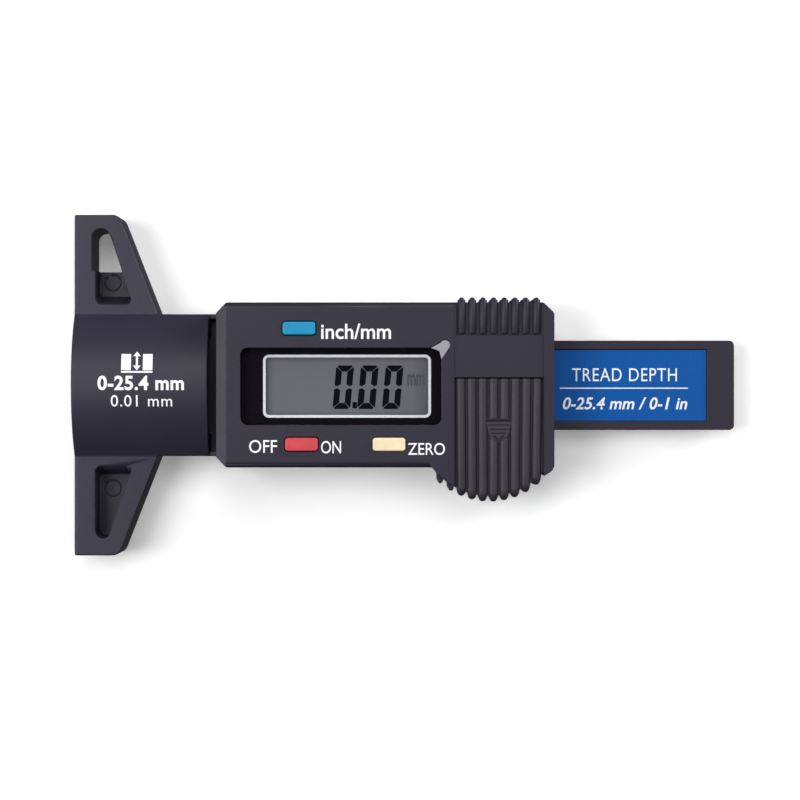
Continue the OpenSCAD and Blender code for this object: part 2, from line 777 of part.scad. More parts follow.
module circuit_board() {
    color([0.1, 0.35, 0.2])
    difference() {
        block([tongue_x + 0.6, -hy + side_wall + 0.25, board_z0], [hx1 - side_wall - 0.3, hy - side_wall - 0.25, board_z1]);
        for (i = [0 : len(notch_way) - 1]) {
            p = housing_screw_at[i];
            r = boss_r + 0.25;
            inner_y = abs(p.y) - r;
            x0 = notch_way[i] < 0 ? hx0 : p.x - r;
            x1 = notch_way[i] > 0 ? hx1 : p.x + r;
            block([x0, p.y > 0 ? inner_y : -hy, board_z0 - 1], [x1, p.y > 0 ? hy : -inner_y, board_z1 + 1]);
        }
    }
}

module controller_chip() {
    color([0.05, 0.05, 0.05])
    translate([lcd_x, window_y + 1, board_z1]) cap(3.6, 1.2);
}

module quartz_crystal() {
    color([0.75, 0.75, 0.78])
    rod_x(lcd_x + 5, lcd_x + 11, window_y + 2, board_z1 + 1.02, 1);
}

module switch_domes() {
    color([0.8, 0.8, 0.82])
    for (p = [unit_at, power_at, zero_at]) {
        translate([p.x, p.y, board_z1]) cylinder(r1 = dome_r, r2 = dome_top_r, h = dome_h);
    }
}

// ---- buttons ----

module button(at) {
    stem_z0 = board_z1 + dome_h + button_travel + 0.08;
    translate([at.x, at.y, 0]) {
        translate([0, 0, front_z0 - button_flange_t]) linear_extrude(front_wall + button_flange_t + button_proud)
            round_rect(button_len, button_w, button_r);
        translate([0, 0, front_z0 - tiny - button_flange_t]) linear_extrude(button_flange_t)
            round_rect(button_len + 2 * button_flange, button_w + 2 * button_flange, button_r);
        translate([0, 0, stem_z0]) linear_extrude(front_z0 - stem_z0 - tiny) square(button_stem, center = true);
    }
}

module unit_button() {
    color([0.13, 0.57, 0.76]) button(unit_at);
}

module power_button() {
    color([0.83, 0.31, 0.35]) button(power_at);
}

module zero_button() {
    color([0.97, 0.91, 0.72]) button(zero_at);
}

// ---- battery ----

module battery_cell() {
    cap_d = 9.6;
    cap_t = 0.4;
    color([0.8, 0.8, 0.82])
    translate([cell_x, cell_y, 0]) {
        translate([0, 0, cell_z0 + cap_t]) cylinder(d = cell_d, h = cell_t - cap_t);
        translate([0, 0, cell_z0]) cylinder(d = cap_d, h = cell_t);
    }
}

module positive_contact() {
    leaf_y = cell_y + cell_d / 2 + tiny;
    color([0.82, 0.8, 0.7]) {
        block([cell_x - 1.4, leaf_y, board_z1], [cell_x + 1.4, leaf_y + contact_t, cell_z1 - 1]);
        block([cell_x - 1.4, leaf_y, board_z1], [cell_x + 1.4, leaf_y + 2.4, board_z1 + contact_t]);
    }
}

module negative_contact() {
    leg_x = cell_x - cup_r - cup_wall - 0.5;
    color([0.82, 0.8, 0.7]) {
        block([leg_x, cell_y - 1.4, board_z1], [leg_x + contact_t, cell_y + 1.4, cell_z0 - tiny]);
        block([leg_x, cell_y - 1.4, cell_z0 - tiny - contact_t], [cell_x + 1, cell_y + 1.4, cell_z0 - tiny]);
        block([leg_x, cell_y - 1.4, board_z1], [leg_x + 2.2, cell_y + 1.4, board_z1 + contact_t]);
    }
}

// Arrow mark sunk in the cover: a bar over a triangle that points the way the cover slides.
module arrow_mark() {
    mark_y = cell_y - 0.2;
    translate([cell_x - 0.15, mark_y, rib_floor_z - 0.25]) {
        translate([-2, 0.9, 0]) cube([4, 0.45, 2]);
        linear_extrude(2) polygon([[-1.7, 0.35], [1.7, 0.35], [0, -2.4]]);
    }
}

module battery_cover() {
    top_y = cover_top - slide_fit;
    low_y = bulge_y - bulge_r - 2;
    half = cover_w / 2;
    color([0.235, 0.22, 0.25])
    difference() {
        union() {
            intersection() {
                union() {
                    block([cover_x - half, low_y, cover_z0], [cover_x + half, top_y, rib_floor_z]);
                    block([cover_x - half - lip_w, low_y, cover_z0], [cover_x + half + lip_w, top_y, cover_z0 + lip_t]);
                    for (i = [0 : 7]) {
                        rod_y(low_y, top_y, cover_x + (i - 3.5) * cover_rib_pitch, rib_floor_z, cover_rib_r);
                    }
                }
                translate([0, 0, cover_z0]) linear_extrude(housing_h - cover_z0) {
                    bulge_plan();
                    translate([cover_x - half - lip_w, bulge_y]) square([cover_w + 2 * lip_w, top_y - bulge_y]);
                }
            }
            // Skirt that closes the bulge below the cover
            intersection() {
                block([cover_x - half, low_y, skirt_z0], [cover_x + half, cell_y - cup_r - cup_wall - 0.3, rib_floor_z]);
                translate([0, 0, skirt_z0]) linear_extrude(rib_floor_z - skirt_z0) difference() {
                    bulge_plan();
                    translate([bulge_x, bulge_y]) circle(bulge_r - side_wall);
                }
            }
            intersection() {
                bulge_teeth(0, rib_count - 1, skirt_z0, rib_floor_z);
                block([cover_x - half, low_y, skirt_z0], [cover_x + half, top_y, housing_h]);
            }
        }
        arrow_mark();
    }
}

// ---- beam ----

module beam() {
    half = beam_w / 2;
    color([0.22, 0.2, 0.23])
    difference() {
        union() {
            block([beam_x0, -half, beam_z0], [beam_x1 - beam_end_r, half, beam_z1]);
            block([beam_x1 - 2 * beam_end_r, -half + beam_end_r, beam_z0], [beam_x1, half - beam_end_r, beam_z1]);
            for (s = [-1, 1]) {
                translate([beam_x1 - beam_end_r, s * (half - beam_end_r), beam_z0]) cylinder(r = beam_end_r, h = beam_t);
            }
            block([beam_x0, -half - lug_w, beam_z0], [beam_x0 + lug_len, half + lug_w, beam_z1]);
        }
        block([label_x0, -label_w / 2, beam_z1 - label_depth], [label_x1, label_w / 2, beam_z1 + 1]);
        block([label_x0, -label_w / 2, beam_z0 - 1], [label_x1, label_w / 2, beam_z0 + back_recess]);
        rod_x(beam_x0 - 1, beam_x0 + probe_seat, 0, probe_z, probe_d / 2);
    }
}

module scale_strip() {
    z0 = beam_z1 - label_depth;
    color([0.7, 0.5, 0.25])
    block([label_x0 + seat_fit, -label_w / 2 + seat_fit, z0], [label_x1 - seat_fit, label_w / 2 - seat_fit, z0 + scale_t]);
}

module beam_label() {
    z1 = beam_z1 - label_sink;
    color([0.07, 0.33, 0.62])
    block([label_x0 + seat_fit, -label_w / 2 + seat_fit, z1 - label_t], [label_x1 - seat_fit, label_w / 2 - seat_fit, z1]);
}

module probe_pin() {
    tip = 0.3;
    r = probe_d / 2;
    color([0.78, 0.78, 0.8]) {
        rod_x(face_x + tip, beam_x0 + probe_seat, 0, probe_z, r);
        translate([face_x, 0, probe_z]) rotate([0, 90, 0]) cylinder(r1 = r - tip, r2 = r, h = tip);
    }
}

// ---- fasteners ----

module screw(at, len) {
    translate([at.x, at.y, head_sink]) difference() {
        union() {
            cylinder(d = screw_head_d, h = screw_head_h);
            cylinder(d = screw_d, h = len + screw_head_h);
        }
        for (a = [0, 90]) {
            rotate(a) translate([-cross_len / 2, -cross_w / 2, -1]) cube([cross_len, cross_w, 1 + cross_depth]);
        }
    }
}

module housing_screws() {
    color([0.3, 0.3, 0.32])
    for (p = housing_screw_at) {
        screw(p, housing_screw_len);
    }
}

module foot_screws() {
    color([0.3, 0.3, 0.32])
    for (p = foot_screw_at) {
        screw(p, foot_screw_len);
    }
}

base_foot();
rear_cover();
front_cover();
display_lens();
lcd_panel();
lcd_holder();
zebra_strip();
circuit_board();
controller_chip();
quartz_crystal();
switch_domes();
unit_button();
power_button();
zero_button();
battery_cell();
positive_contact();
negative_contact();
battery_cover();
beam();
scale_strip();
beam_label();
probe_pin();
gib_spring();
housing_screws();
foot_screws();
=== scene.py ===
"""Looks of a digital tyre tread depth gauge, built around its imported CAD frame."""

from __future__ import annotations

import json
import logging
import math
from dataclasses import dataclass
from enum import Enum
from typing import Any, Iterable, Sequence

import bmesh
import bpy
from bmesh.types import BMEdge, BMesh
from bpy.types import Material, Mesh, Node, NodeSocket, NodeTree, Object
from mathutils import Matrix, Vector
from mathutils.bvhtree import BVHTree
from mathutils.kdtree import KDTree

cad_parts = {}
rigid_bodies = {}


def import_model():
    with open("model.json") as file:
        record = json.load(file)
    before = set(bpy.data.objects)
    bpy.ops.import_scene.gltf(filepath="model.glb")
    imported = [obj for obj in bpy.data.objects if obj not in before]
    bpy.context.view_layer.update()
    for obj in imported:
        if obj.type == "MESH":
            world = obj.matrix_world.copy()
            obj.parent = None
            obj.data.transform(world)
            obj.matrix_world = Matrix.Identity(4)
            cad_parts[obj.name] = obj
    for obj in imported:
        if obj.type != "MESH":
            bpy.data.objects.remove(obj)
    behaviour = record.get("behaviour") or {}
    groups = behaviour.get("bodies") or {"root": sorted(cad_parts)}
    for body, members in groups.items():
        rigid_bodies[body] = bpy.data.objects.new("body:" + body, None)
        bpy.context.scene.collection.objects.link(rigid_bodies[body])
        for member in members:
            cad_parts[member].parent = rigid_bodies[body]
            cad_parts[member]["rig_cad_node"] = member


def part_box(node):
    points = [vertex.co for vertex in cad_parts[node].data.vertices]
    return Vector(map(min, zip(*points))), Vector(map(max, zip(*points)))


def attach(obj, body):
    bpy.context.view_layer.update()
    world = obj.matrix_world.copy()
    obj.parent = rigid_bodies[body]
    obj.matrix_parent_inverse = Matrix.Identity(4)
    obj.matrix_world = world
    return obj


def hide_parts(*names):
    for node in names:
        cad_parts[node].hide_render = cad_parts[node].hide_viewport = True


MM = 0.001
LOG = logging.getLogger("tread_gauge")

SAME_PLACE = 0.001 * MM  # vertices closer than this are one
LEVEL_ANGLE = 0.6  # faces within this many degrees are one
BEND_STEP = 0.5 * MM  # distance between the cuts of a bent print
TRIES = 8  # rounds of leaving corners sharp
STRAY_SHARE = 0.8  # share of a rounding's width that its corners may leave the surface by
SPARED_REACH = 2.5  # widths within which the corners near a fault stay sharp
CREASE = 40.0  # edges sharper than this many degrees are shaded sharp
CURVE_STEPS = 24  # pieces along the battery cover's curved edge
INK = 0.012  # thickness of print in millimetres

Colour = tuple[float, float, float]
Point2 = tuple[float, float]


class Body(str, Enum):
    """Moving groups of the gauge."""

    HOUSING = "housing"
    SLIDER = "slider"
    CELL_COVER = "cell_cover"
    UNIT_KEY = "unit_key"
    POWER_KEY = "power_key"
    ZERO_KEY = "zero_key"


# ---------------------------------------------------------------- node graphs


class Value:
    """A number in a node tree: arithmetic on it adds Math nodes."""

    def __init__(self, graph: "Graph", socket: NodeSocket) -> None:
        """Wrap an output socket of a graph."""
        self.graph = graph
        self.socket = socket

    def math(self, operation: str, *operands: Any) -> "Value":
        """Add one Math node.

        Args:
            operation: The node's operation.
            operands: Its inputs, in order.

        Returns:
            The node's result.
        """
        inputs = dict(enumerate(operands))
        return self.graph.value("ShaderNodeMath", {"operation": operation}, inputs)

    def __add__(self, other: Any) -> "Value":
        """Sum."""
        return self.math("ADD", self, other)

    def __sub__(self, other: Any) -> "Value":
        """Difference."""
        return self.math("SUBTRACT", self, other)

    def __rsub__(self, other: Any) -> "Value":
        """Difference from a plain number on the left."""
        return self.math("SUBTRACT", other, self)

    def __mul__(self, other: Any) -> "Value":
        """Product."""
        return self.math("MULTIPLY", self, other)

    def __truediv__(self, other: Any) -> "Value":
        """Quotient."""
        return self.math("DIVIDE", self, other)

    def __pow__(self, other: Any) -> "Value":
        """Power."""
        return self.math("POWER", self, other)

    def root(self) -> "Value":
        """Square root of what isn't below zero."""
        return self.math("SQRT", self.math("MAXIMUM", self, 0.0))

    def clamped(self) -> "Value":
        """The number held between 0 and 1."""
        return self.math("MINIMUM", self.math("MAXIMUM", self, 0.0), 1.0)

    def ramp(self, low: float, high: float) -> "Value":
        """Rise from 0 to 1 as the number goes from low to high."""
        return ((self - low) * (1.0 / (high - low))).clamped()


class Graph:
    """A node tree that is filled one node at a time."""

    def __init__(self, tree: NodeTree) -> None:
        """Wrap a tree."""
        self.tree = tree

    def add(self, kind: str, settings: dict[str, Any] | None = None,
            inputs: dict[Any, Any] | None = None) -> Node:
        """Add a node, set it and then feed it.

        Args:
            kind: The node's type.
            settings: Attributes of the node, set before its inputs.
            inputs: Socket name or number to a constant, a Value or a socket.

        Returns:
            The new node.
        """
        node = self.tree.nodes.new(kind)
        for key, setting in (settings or {}).items():
            setattr(node, key, setting)
        for key, given in (inputs or {}).items():
            source = given.socket if isinstance(given, Value) else given
            if isinstance(source, NodeSocket):
                self.tree.links.new(source, node.inputs[key])
            else:
                node.inputs[key].default_value = source
        return node

    def value(self, kind: str, settings: dict[str, Any] | None = None,
              inputs: dict[Any, Any] | None = None, output: int | str = 0) -> Value:
        """Add a node and wrap one of its outputs."""
        return Value(self, self.add(kind, settings, inputs).outputs[output])


class Shade(Graph):
    """The shader of one finish, around a Principled shader."""

    def __init__(self, name: str) -> None:
        """Start a material with an empty tree."""
        self.material = bpy.data.materials.new(name)
        self.material.use_nodes = True
        super().__init__(self.material.node_tree)
        self.tree.nodes.clear()
        self.shader = self.add("ShaderNodeBsdfPrincipled")
        self.add("ShaderNodeOutputMaterial", None, {"Surface": self.shader.outputs[0]})
        self.coords = self.add("ShaderNodeTexCoord").outputs["Object"]

    def stretched(self, x: float, y: float, z: float) -> NodeSocket:
        """Object coordinates scaled along each axis."""
        mapping = self.add("ShaderNodeMapping", None, {"Vector": self.coords, "Scale": (x, y, z)})
        return mapping.outputs[0]

    def noise(self, size: float, detail: float = 3.0, vector: NodeSocket | None = None) -> Value:
        """Cloudy noise.

        Args:
            size: Size of its largest blots in metres.
            detail: Octaves.
            vector: Coordinates, or None for the piece's own.

        Returns:
            A number around 0.5.
        """
        inputs = {"Vector": vector or self.coords, "Scale": 1.0 / size, "Detail": detail}
        return self.value("ShaderNodeTexNoise", None, inputs)

    def blend(self, factor: Any, low: Any, high: Any) -> NodeSocket:
        """Mix two colours by a factor."""
        padded = [(*c, 1.0) if isinstance(c, tuple) and len(c) == 3 else c for c in (low, high)]
        node = self.add("ShaderNodeMix", {"data_type": "RGBA"}, {0: factor, 6: padded[0], 7: padded[1]})
        return node.outputs[2]

    def tints(self, factor: Any, colour: Colour, low: float, high: float) -> NodeSocket:
        """Mix a darker and a lighter tint of one colour."""
        return self.blend(factor, tinted(colour, low), tinted(colour, high))

    def relief(self, height: Value, distance: float, strength: float = 1.0) -> None:
        """Raise the surface by a height pattern."""
        inputs = {"Height": height, "Distance": distance, "Strength": strength}
        self.feed("Normal", self.add("ShaderNodeBump", None, inputs).outputs[0])

    def feed(self, name: str, given: Any) -> None:
        """Set or drive one input of the Principled shader."""
        source = given.socket if isinstance(given, Value) else given
        if isinstance(source, NodeSocket):
            self.tree.links.new(source, self.shader.inputs[name])
        else:
            self.shader.inputs[name].default_value = source


def tinted(colour: Colour, factor: float) -> Colour:
    """A colour made lighter or darker by a factor."""
    return (colour[0] * factor, colour[1] * factor, colour[2] * factor)


# ---------------------------------------------------------------- finishes


@dataclass(frozen=True)
class Finish:
    """A named finish that paints its own shader."""

    name: str

    def material(self) -> Material:
        """Build the material."""
        shade = Shade(self.name)
        self.paint(shade)
        return shade.material

    def paint(self, shade: Shade) -> None:
        """Fill the shader, each finish in its own way."""
        raise NotImplementedError


@dataclass(frozen=True)
class MouldedPlastic(Finish):
    """Satin moulded plastic: spark texture, faint flow clouds, rubbed edges and fine scuffs."""

    colour: Colour
    roughness: float = 0.46
    grain: float = 0.22 * MM
    relief: float = 0.02 * MM
    clouds: float = 0.13
    edge_gain: float = 1.5

    def paint(self, shade: Shade) -> None:
        """Fill the shader."""
        clouds = shade.noise(9 * MM, 4.0)
        speckle = shade.noise(self.grain, 2.0)
        scuffs = shade.noise(1.0, 2.0, shade.stretched(260.0, 2400.0, 260.0)).ramp(0.62, 0.74)
        rubbed = shade.value("ShaderNodeAttribute", {"attribute_name": "edge"}, None, "Fac")
        rubbed = rubbed * shade.noise(1.3 * MM, 3.0).ramp(0.3, 0.62)
        tone = (clouds - 0.5) * 1.2 + (speckle - 0.5) * 0.5 + 0.5
        base = shade.tints(tone.clamped(), self.colour, 1.0 - self.clouds, 1.0 + self.clouds)
        shade.feed("Base Color", shade.blend(rubbed * 0.5, base, tinted(self.colour, self.edge_gain)))
        rough = (clouds - 0.5) * 0.1 + (speckle - 0.5) * 0.08 + self.roughness
        shade.feed("Roughness", rough + scuffs * 0.05 - rubbed * 0.08)
        shade.feed("Specular IOR Level", 0.22)
        shade.relief(speckle, self.relief, 0.8)


@dataclass(frozen=True)
class GlossPlastic(Finish):
    """Smooth moulded or lacquered plastic with a slight orange peel."""

    colour: Colour
    roughness: float = 0.22
    peel: float = 0.9 * MM
    clouds: float = 0.06

    def paint(self, shade: Shade) -> None:
        """Fill the shader."""
        clouds = shade.noise(3.5 * MM, 3.0)
        peel = shade.noise(self.peel, 2.0)
        dust = shade.noise(0.12 * MM, 2.0).ramp(0.66, 0.8)
        low, high = 1.0 - self.clouds, 1.0 + self.clouds
        shade.feed("Base Color", shade.tints(clouds.ramp(0.3, 0.7), self.colour, low, high))
        shade.feed("Roughness", (clouds - 0.5) * 0.08 + dust * 0.12 + self.roughness)
        shade.feed("Specular IOR Level", 0.3)
        shade.relief(peel, 0.006 * MM, 0.5)


@dataclass(frozen=True)
class Ink(Finish):
    """Screen-printed ink: slightly uneven cover with a soft sheen."""

    colour: Colour
    roughness: float = 0.5
    sheen: float = 0.5

    def paint(self, shade: Shade) -> None:
        """Fill the shader."""
        cover = shade.noise(0.35 * MM, 4.0)
        shade.feed("Base Color", shade.tints(cover.ramp(0.25, 0.6), self.colour, 0.86, 1.0))
        shade.feed("Roughness", (cover - 0.5) * 0.2 + self.roughness)
        shade.feed("Specular IOR Level", self.sheen)
        shade.relief(cover, 0.004 * MM, 0.5)


@dataclass(frozen=True)
class SheetMetal(Finish):
    """Plated or ground metal with grain along one axis."""

    colour: Colour
    roughness: float = 0.3
    along: tuple[float, float, float] = (300.0, 5000.0, 5000.0)

    def paint(self, shade: Shade) -> None:
        """Fill the shader."""
        grain = shade.noise(1.0, 3.0, shade.stretched(*self.along))
        clouds = shade.noise(2.5 * MM, 3.0)
        shade.feed("Base Color", shade.tints(clouds.ramp(0.3, 0.7), self.colour, 0.88, 1.0))
        shade.feed("Metallic", 1.0)
        shade.feed("Roughness", (grain - 0.5) * 0.25 + (clouds - 0.5) * 0.1 + self.roughness)
        shade.relief(grain, 0.004 * MM, 0.6)


@dataclass(frozen=True)
class LiquidCrystal(Finish):
    """Grey reflective display glass, with painted shade along the sides of its open field where the border would
    shadow it.
    """

    low: Point2
    high: Point2
    shade_widths: tuple[float, float, float, float]
    middle_colour: Colour
    shadow_colour: Colour

    def paint(self, shade: Shade) -> None:
        """Fill the shader; the shade widths are the bands of painted shade at the left, lower, right and upper
        sides.
        """
        split = shade.add("ShaderNodeSeparateXYZ", None, {0: shade.coords})
        across, along = Value(shade, split.outputs[0]), Value(shade, split.outputs[1])
        gaps = (across - self.low[0], along - self.low[1], self.high[0] - across, self.high[1] - along)
        # painted shade: the glass darkens towards each side of its open field, standing in for the border's shadow
        tone = gaps[0].ramp(0.0, self.shade_widths[0])
        for gap, shade_width in zip(gaps[1:], self.shade_widths[1:]):
            tone = tone * gap.ramp(-0.5 * shade_width, shade_width)
        film = shade.noise(0.18 * MM, 2.0)
        clouds = shade.noise(6 * MM, 2.0)
        tone = tone + (clouds - 0.5) * 0.25 + (film - 0.5) * 0.12
        shade.feed("Base Color", shade.blend(tone.clamped(), self.shadow_colour, self.middle_colour))
        shade.feed("Roughness", (film - 0.5) * 0.12 + 0.38)
        shade.relief(film, 0.002 * MM, 0.4)


@dataclass(frozen=True)
class Laminate(Finish):
    """Printed film: even colour with faint streaks and handling marks."""

    colour: Colour
    roughness: float = 0.42

    def paint(self, shade: Shade) -> None:
        """Fill the shader."""
        streaks = shade.noise(1.0, 3.0, shade.stretched(90.0, 900.0, 90.0))
        film = shade.noise(0.3 * MM, 2.0)
        scuffs = shade.noise(1.0, 2.0, shade.stretched(2100.0, 240.0, 240.0)).ramp(0.64, 0.76)
        tone = (streaks - 0.5) * 0.7 + (film - 0.5) * 0.5 + 0.5
        base = shade.tints(tone.clamped(), self.colour, 0.94, 1.06)
        shade.feed("Base Color", shade.blend(scuffs * 0.12, base, tinted(self.colour, 1.8)))
        shade.feed("Roughness", (film - 0.5) * 0.15 + scuffs * 0.1 + self.roughness)
        shade.feed("Specular IOR Level", 0.12)
        shade.relief(film, 0.003 * MM, 0.5)


@dataclass(frozen=True)
class ClearPlastic(Finish):
    """Clear moulded window: nearly see-through with a clean gloss."""

    alpha: float = 0.05
    roughness: float = 0.06

    def paint(self, shade: Shade) -> None:
        """Fill the shader."""
        haze = shade.noise(7 * MM, 3.0)
        specks = shade.noise(0.16 * MM, 2.0).ramp(0.72, 0.84)
        shade.feed("Base Color", shade.blend(haze.ramp(0.3, 0.7), (0.008, 0.008, 0.01), (0.014, 0.014, 0.016)))
        shade.feed("Roughness", haze * 0.04 + specks * 0.2 + self.roughness)
        shade.feed("Alpha", haze * 0.02 + specks * 0.05 + self.alpha)
        shade.feed("IOR", 1.49)
        shade.relief(haze, 0.01 * MM, 0.3)


@dataclass(frozen=True)
class CircuitLaminate(Finish):
    """Solder mask over faint copper tracks."""

    colour: Colour

    def paint(self, shade: Shade) -> None:
        """Fill the shader."""
        tracks = shade.value("ShaderNodeTexWave", {"wave_type": "BANDS", "bands_direction": "DIAGONAL"},
                             {"Vector": shade.coords, "Scale": 340.0, "Distortion": 9.0, "Detail": 1.0})
        copper = tracks.ramp(0.62, 0.72)
        clouds = shade.noise(4 * MM, 3.0)
        base = shade.tints(clouds.ramp(0.3, 0.7), self.colour, 0.85, 1.0)
        shade.feed("Base Color", shade.blend(copper * 0.6, base, tinted(self.colour, 2.0)))
        shade.feed("Roughness", (clouds - 0.5) * 0.1 + 0.34)
        shade.relief(copper, 0.03 * MM, 0.6)


class Palette:
    """Every finish of the gauge, built once."""

    def __init__(self) -> None:
        """Build the materials."""
        shell = (0.020, 0.018, 0.032)
        self.foot = MouldedPlastic("foot_black", (0.026, 0.024, 0.040), roughness=0.42).material()
        self.shell = MouldedPlastic("shell_black", shell, roughness=0.44).material()
        self.cover = MouldedPlastic("cover_black", (0.034, 0.030, 0.040), roughness=0.44).material()
        # painted shade for the arrow mark's strokes, darker than any plastic of the gauge
        self.groove = MouldedPlastic("groove_black", (0.006, 0.005, 0.008), roughness=0.6).material()
        self.beam = MouldedPlastic("beam_black", (0.022, 0.017, 0.030), roughness=0.48).material()
        self.gate = MouldedPlastic("gate_grey", (0.30, 0.29, 0.335), roughness=0.36, clouds=0.3).material()
        self.lens = ClearPlastic("window_clear").material()
        self.mask = Ink("mask_black", (0.004, 0.002, 0.005), roughness=0.3, sheen=0.05).material()
        self.line = Ink("line_silver", (0.84, 0.85, 0.92), roughness=0.42).material()
        self.print = Ink("print_white", (0.86, 0.86, 0.90), roughness=0.5).material()
        self.label_print = Ink("label_white", (0.80, 0.83, 0.90), roughness=0.5).material()
        self.segments = Ink("segment_black", (0.004, 0.005, 0.008), roughness=0.5, sheen=0.0).material()
        self.faint = Ink("segment_faint", (0.05, 0.05, 0.06), roughness=0.45).material()
        self.blue = GlossPlastic("button_blue", (0.008, 0.235, 0.44), roughness=0.3).material()
        self.red = GlossPlastic("button_red", (0.53, 0.056, 0.070), roughness=0.3).material()
        self.cream = GlossPlastic("button_cream", (0.80, 0.68, 0.44), roughness=0.34).material()
        self.label = Laminate("label_blue", (0.003, 0.082, 0.33), roughness=0.3).material()
        self.scale = CircuitLaminate("scale_amber", (0.36, 0.2, 0.05)).material()
        self.board = CircuitLaminate("board_green", (0.012, 0.11, 0.05)).material()
        self.white = GlossPlastic("holder_white", (0.62, 0.62, 0.60), roughness=0.4).material()
        self.rubber = GlossPlastic("zebra_grey", (0.18, 0.18, 0.19), roughness=0.6).material()
        self.resin = GlossPlastic("chip_resin", (0.012, 0.012, 0.013), roughness=0.35).material()
        self.nickel = SheetMetal("nickel_plate", (0.62, 0.60, 0.55), roughness=0.28).material()
        self.cell = SheetMetal("cell_steel", (0.66, 0.66, 0.67), roughness=0.22).material()
        self.steel = SheetMetal("pin_steel", (0.60, 0.60, 0.61), roughness=0.2).material()
        self.bronze = SheetMetal("spring_bronze", (0.50, 0.30, 0.12), roughness=0.3).material()
        self.screw = SheetMetal("screw_black", (0.055, 0.055, 0.06), roughness=0.34).material()
        self.gold = SheetMetal("pad_gold", (0.72, 0.5, 0.2), roughness=0.25).material()
        # the last colour is painted shade, used at the sides of the display's open field
        self.glass = LiquidCrystal("display_grey", (-22.4 * MM, -4.75 * MM), (3.5 * MM, 4.35 * MM),
                                   (1.2 * MM, 0.5 * MM, 2.6 * MM, 0.9 * MM),
                                   (0.125, 0.125, 0.150), (0.045, 0.045, 0.055)).material()


# ---------------------------------------------------------------- meshes


def new_object(name: str, mesh: Mesh) -> Object:
    """Link a mesh into the scene as an object."""
    obj = bpy.data.objects.new(name, mesh)
    bpy.context.collection.objects.link(obj)
    return obj


def from_bmesh(name: str, bm: BMesh, outward: bool = True) -> Object:
    """Turn a BMesh into an object, with its faces turned outward if asked."""
    if outward:
        bmesh.ops.recalc_face_normals(bm, faces=bm.faces)
    mesh = bpy.data.meshes.new(name)
    bm.to_mesh(mesh)
    bm.free()
    return new_object(name, mesh)


def to_bmesh(mesh: Mesh) -> BMesh:
    """Open a mesh for editing."""
    bm = bmesh.new()
    bm.from_mesh(mesh)
    return bm


def evaluated(obj: Object) -> Mesh:
    """New mesh of an object as its modifiers leave it."""
    bpy.context.view_layer.update()
    graph = bpy.context.evaluated_depsgraph_get()
    return bpy.data.meshes.new_from_object(obj.evaluated_get(graph), depsgraph=graph)


def baked(obj: Object) -> Object:
    """Replace an object's mesh by its evaluated mesh and drop its modifiers."""
    mesh = evaluated(obj)
    obj.modifiers.clear()
    obj.data = mesh
    return obj


def carved(obj: Object, cutter: Object) -> Object:
    """Cut one solid out of another and remove the cutter."""
    cut = obj.modifiers.new("cut", "BOOLEAN")
    cut.operation = "DIFFERENCE"
    cut.solver = "EXACT"
    cut.object = cutter
    baked(obj)
    bpy.data.objects.remove(cutter)
    return obj


def joined(name: str, parts: Iterable[Object]) -> Object:
    """Join objects that share a place and a material into one."""
    bm = bmesh.new()
    for part in parts:
        bm.from_mesh(part.data)
        bpy.data.objects.remove(part)
    return from_bmesh(name, bm, outward=False)


def arc(cx: float, cy: float, r: float, start: float, end: float, steps: int = 6) -> list[Point2]:
    """Points along an arc, with its angles in degrees."""
    turns = [math.radians(start + (end - start) * i / steps) for i in range(steps + 1)]
    return [(cx + r * math.cos(t), cy + r * math.sin(t)) for t in turns]


def box(x0: float, y0: float, x1: float, y1: float) -> list[Point2]:
    """Outline of a box."""
    return [(x0, y0), (x1, y0), (x1, y1), (x0, y1)]


def rounded(x0: float, y0: float, x1: float, y1: float, r: float) -> list[Point2]:
    """Outline of a box with round corners."""
    points: list[Point2] = []
    corners = ((x1 - r, y0 + r, -90), (x1 - r, y1 - r, 0), (x0 + r, y1 - r, 90), (x0 + r, y0 + r, 180))
    for cx, cy, start in corners:
        points += arc(cx, cy, r, start, start + 90)
    return points


def prism(name: str, outline: Sequence[Point2], z0: float, z1: float) -> Object:
    """Solid between two heights over an outline, with sizes in millimetres."""
    bm = bmesh.new()
    low = [bm.verts.new((x * MM, y * MM, z0 * MM)) for x, y in outline]
    high = [bm.verts.new((x * MM, y * MM, z1 * MM)) for x, y in outline]
    bm.faces.new(low)
    bm.faces.new(high)
    for i in range(len(outline)):
        j = (i + 1) % len(outline)
        bm.faces.new((low[i], low[j], high[j], high[i]))
    return from_bmesh(name, bm)


def ring(name: str, outer: Sequence[Point2], inner: Sequence[Point2], z0: float, z1: float) -> Object:
    """Solid between two outlines that have the same number of points."""
    bm = bmesh.new()
    loops = []
    for z in (z0, z1):
        for outline in (outer, inner):
            loops.append([bm.verts.new((x * MM, y * MM, z * MM)) for x, y in outline])
    low_out, low_in, high_out, high_in = loops
    for i in range(len(outer)):
        j = (i + 1) % len(outer)
        for a, b in ((low_out, low_in), (high_out, high_in), (low_out, high_out), (low_in, high_in)):
            bm.faces.new((a[i], a[j], b[j], b[i]))
    return from_bmesh(name, bm)


def strays(mesh: Mesh, source: BVHTree, limit: float) -> list[tuple[int, Vector]]:
    """Vertices that left the source surface, each with its nearest neighbour that did not.

    Args:
        mesh: The rounded mesh.
        source: Surface before the rounding.
        limit: Farthest that a vertex may lie from it, in metres.

    Returns:
        Number of each stray vertex and the place of its good neighbour.
    """
    away = [source.find_nearest(vertex.co)[3] for vertex in mesh.vertices]
    best: dict[int, tuple[float, Vector]] = {}
    for edge in mesh.edges:
        a, b = edge.vertices
        for bad, good in ((a, b), (b, a)):
            if away[bad] > limit >= away[good]:
                reach = (mesh.vertices[bad].co - mesh.vertices[good].co).length
                if bad not in best or reach < best[bad][0]:
                    best[bad] = (reach, mesh.vertices[good].co.copy())
    return [(bad, place) for bad, (_, place) in best.items()]


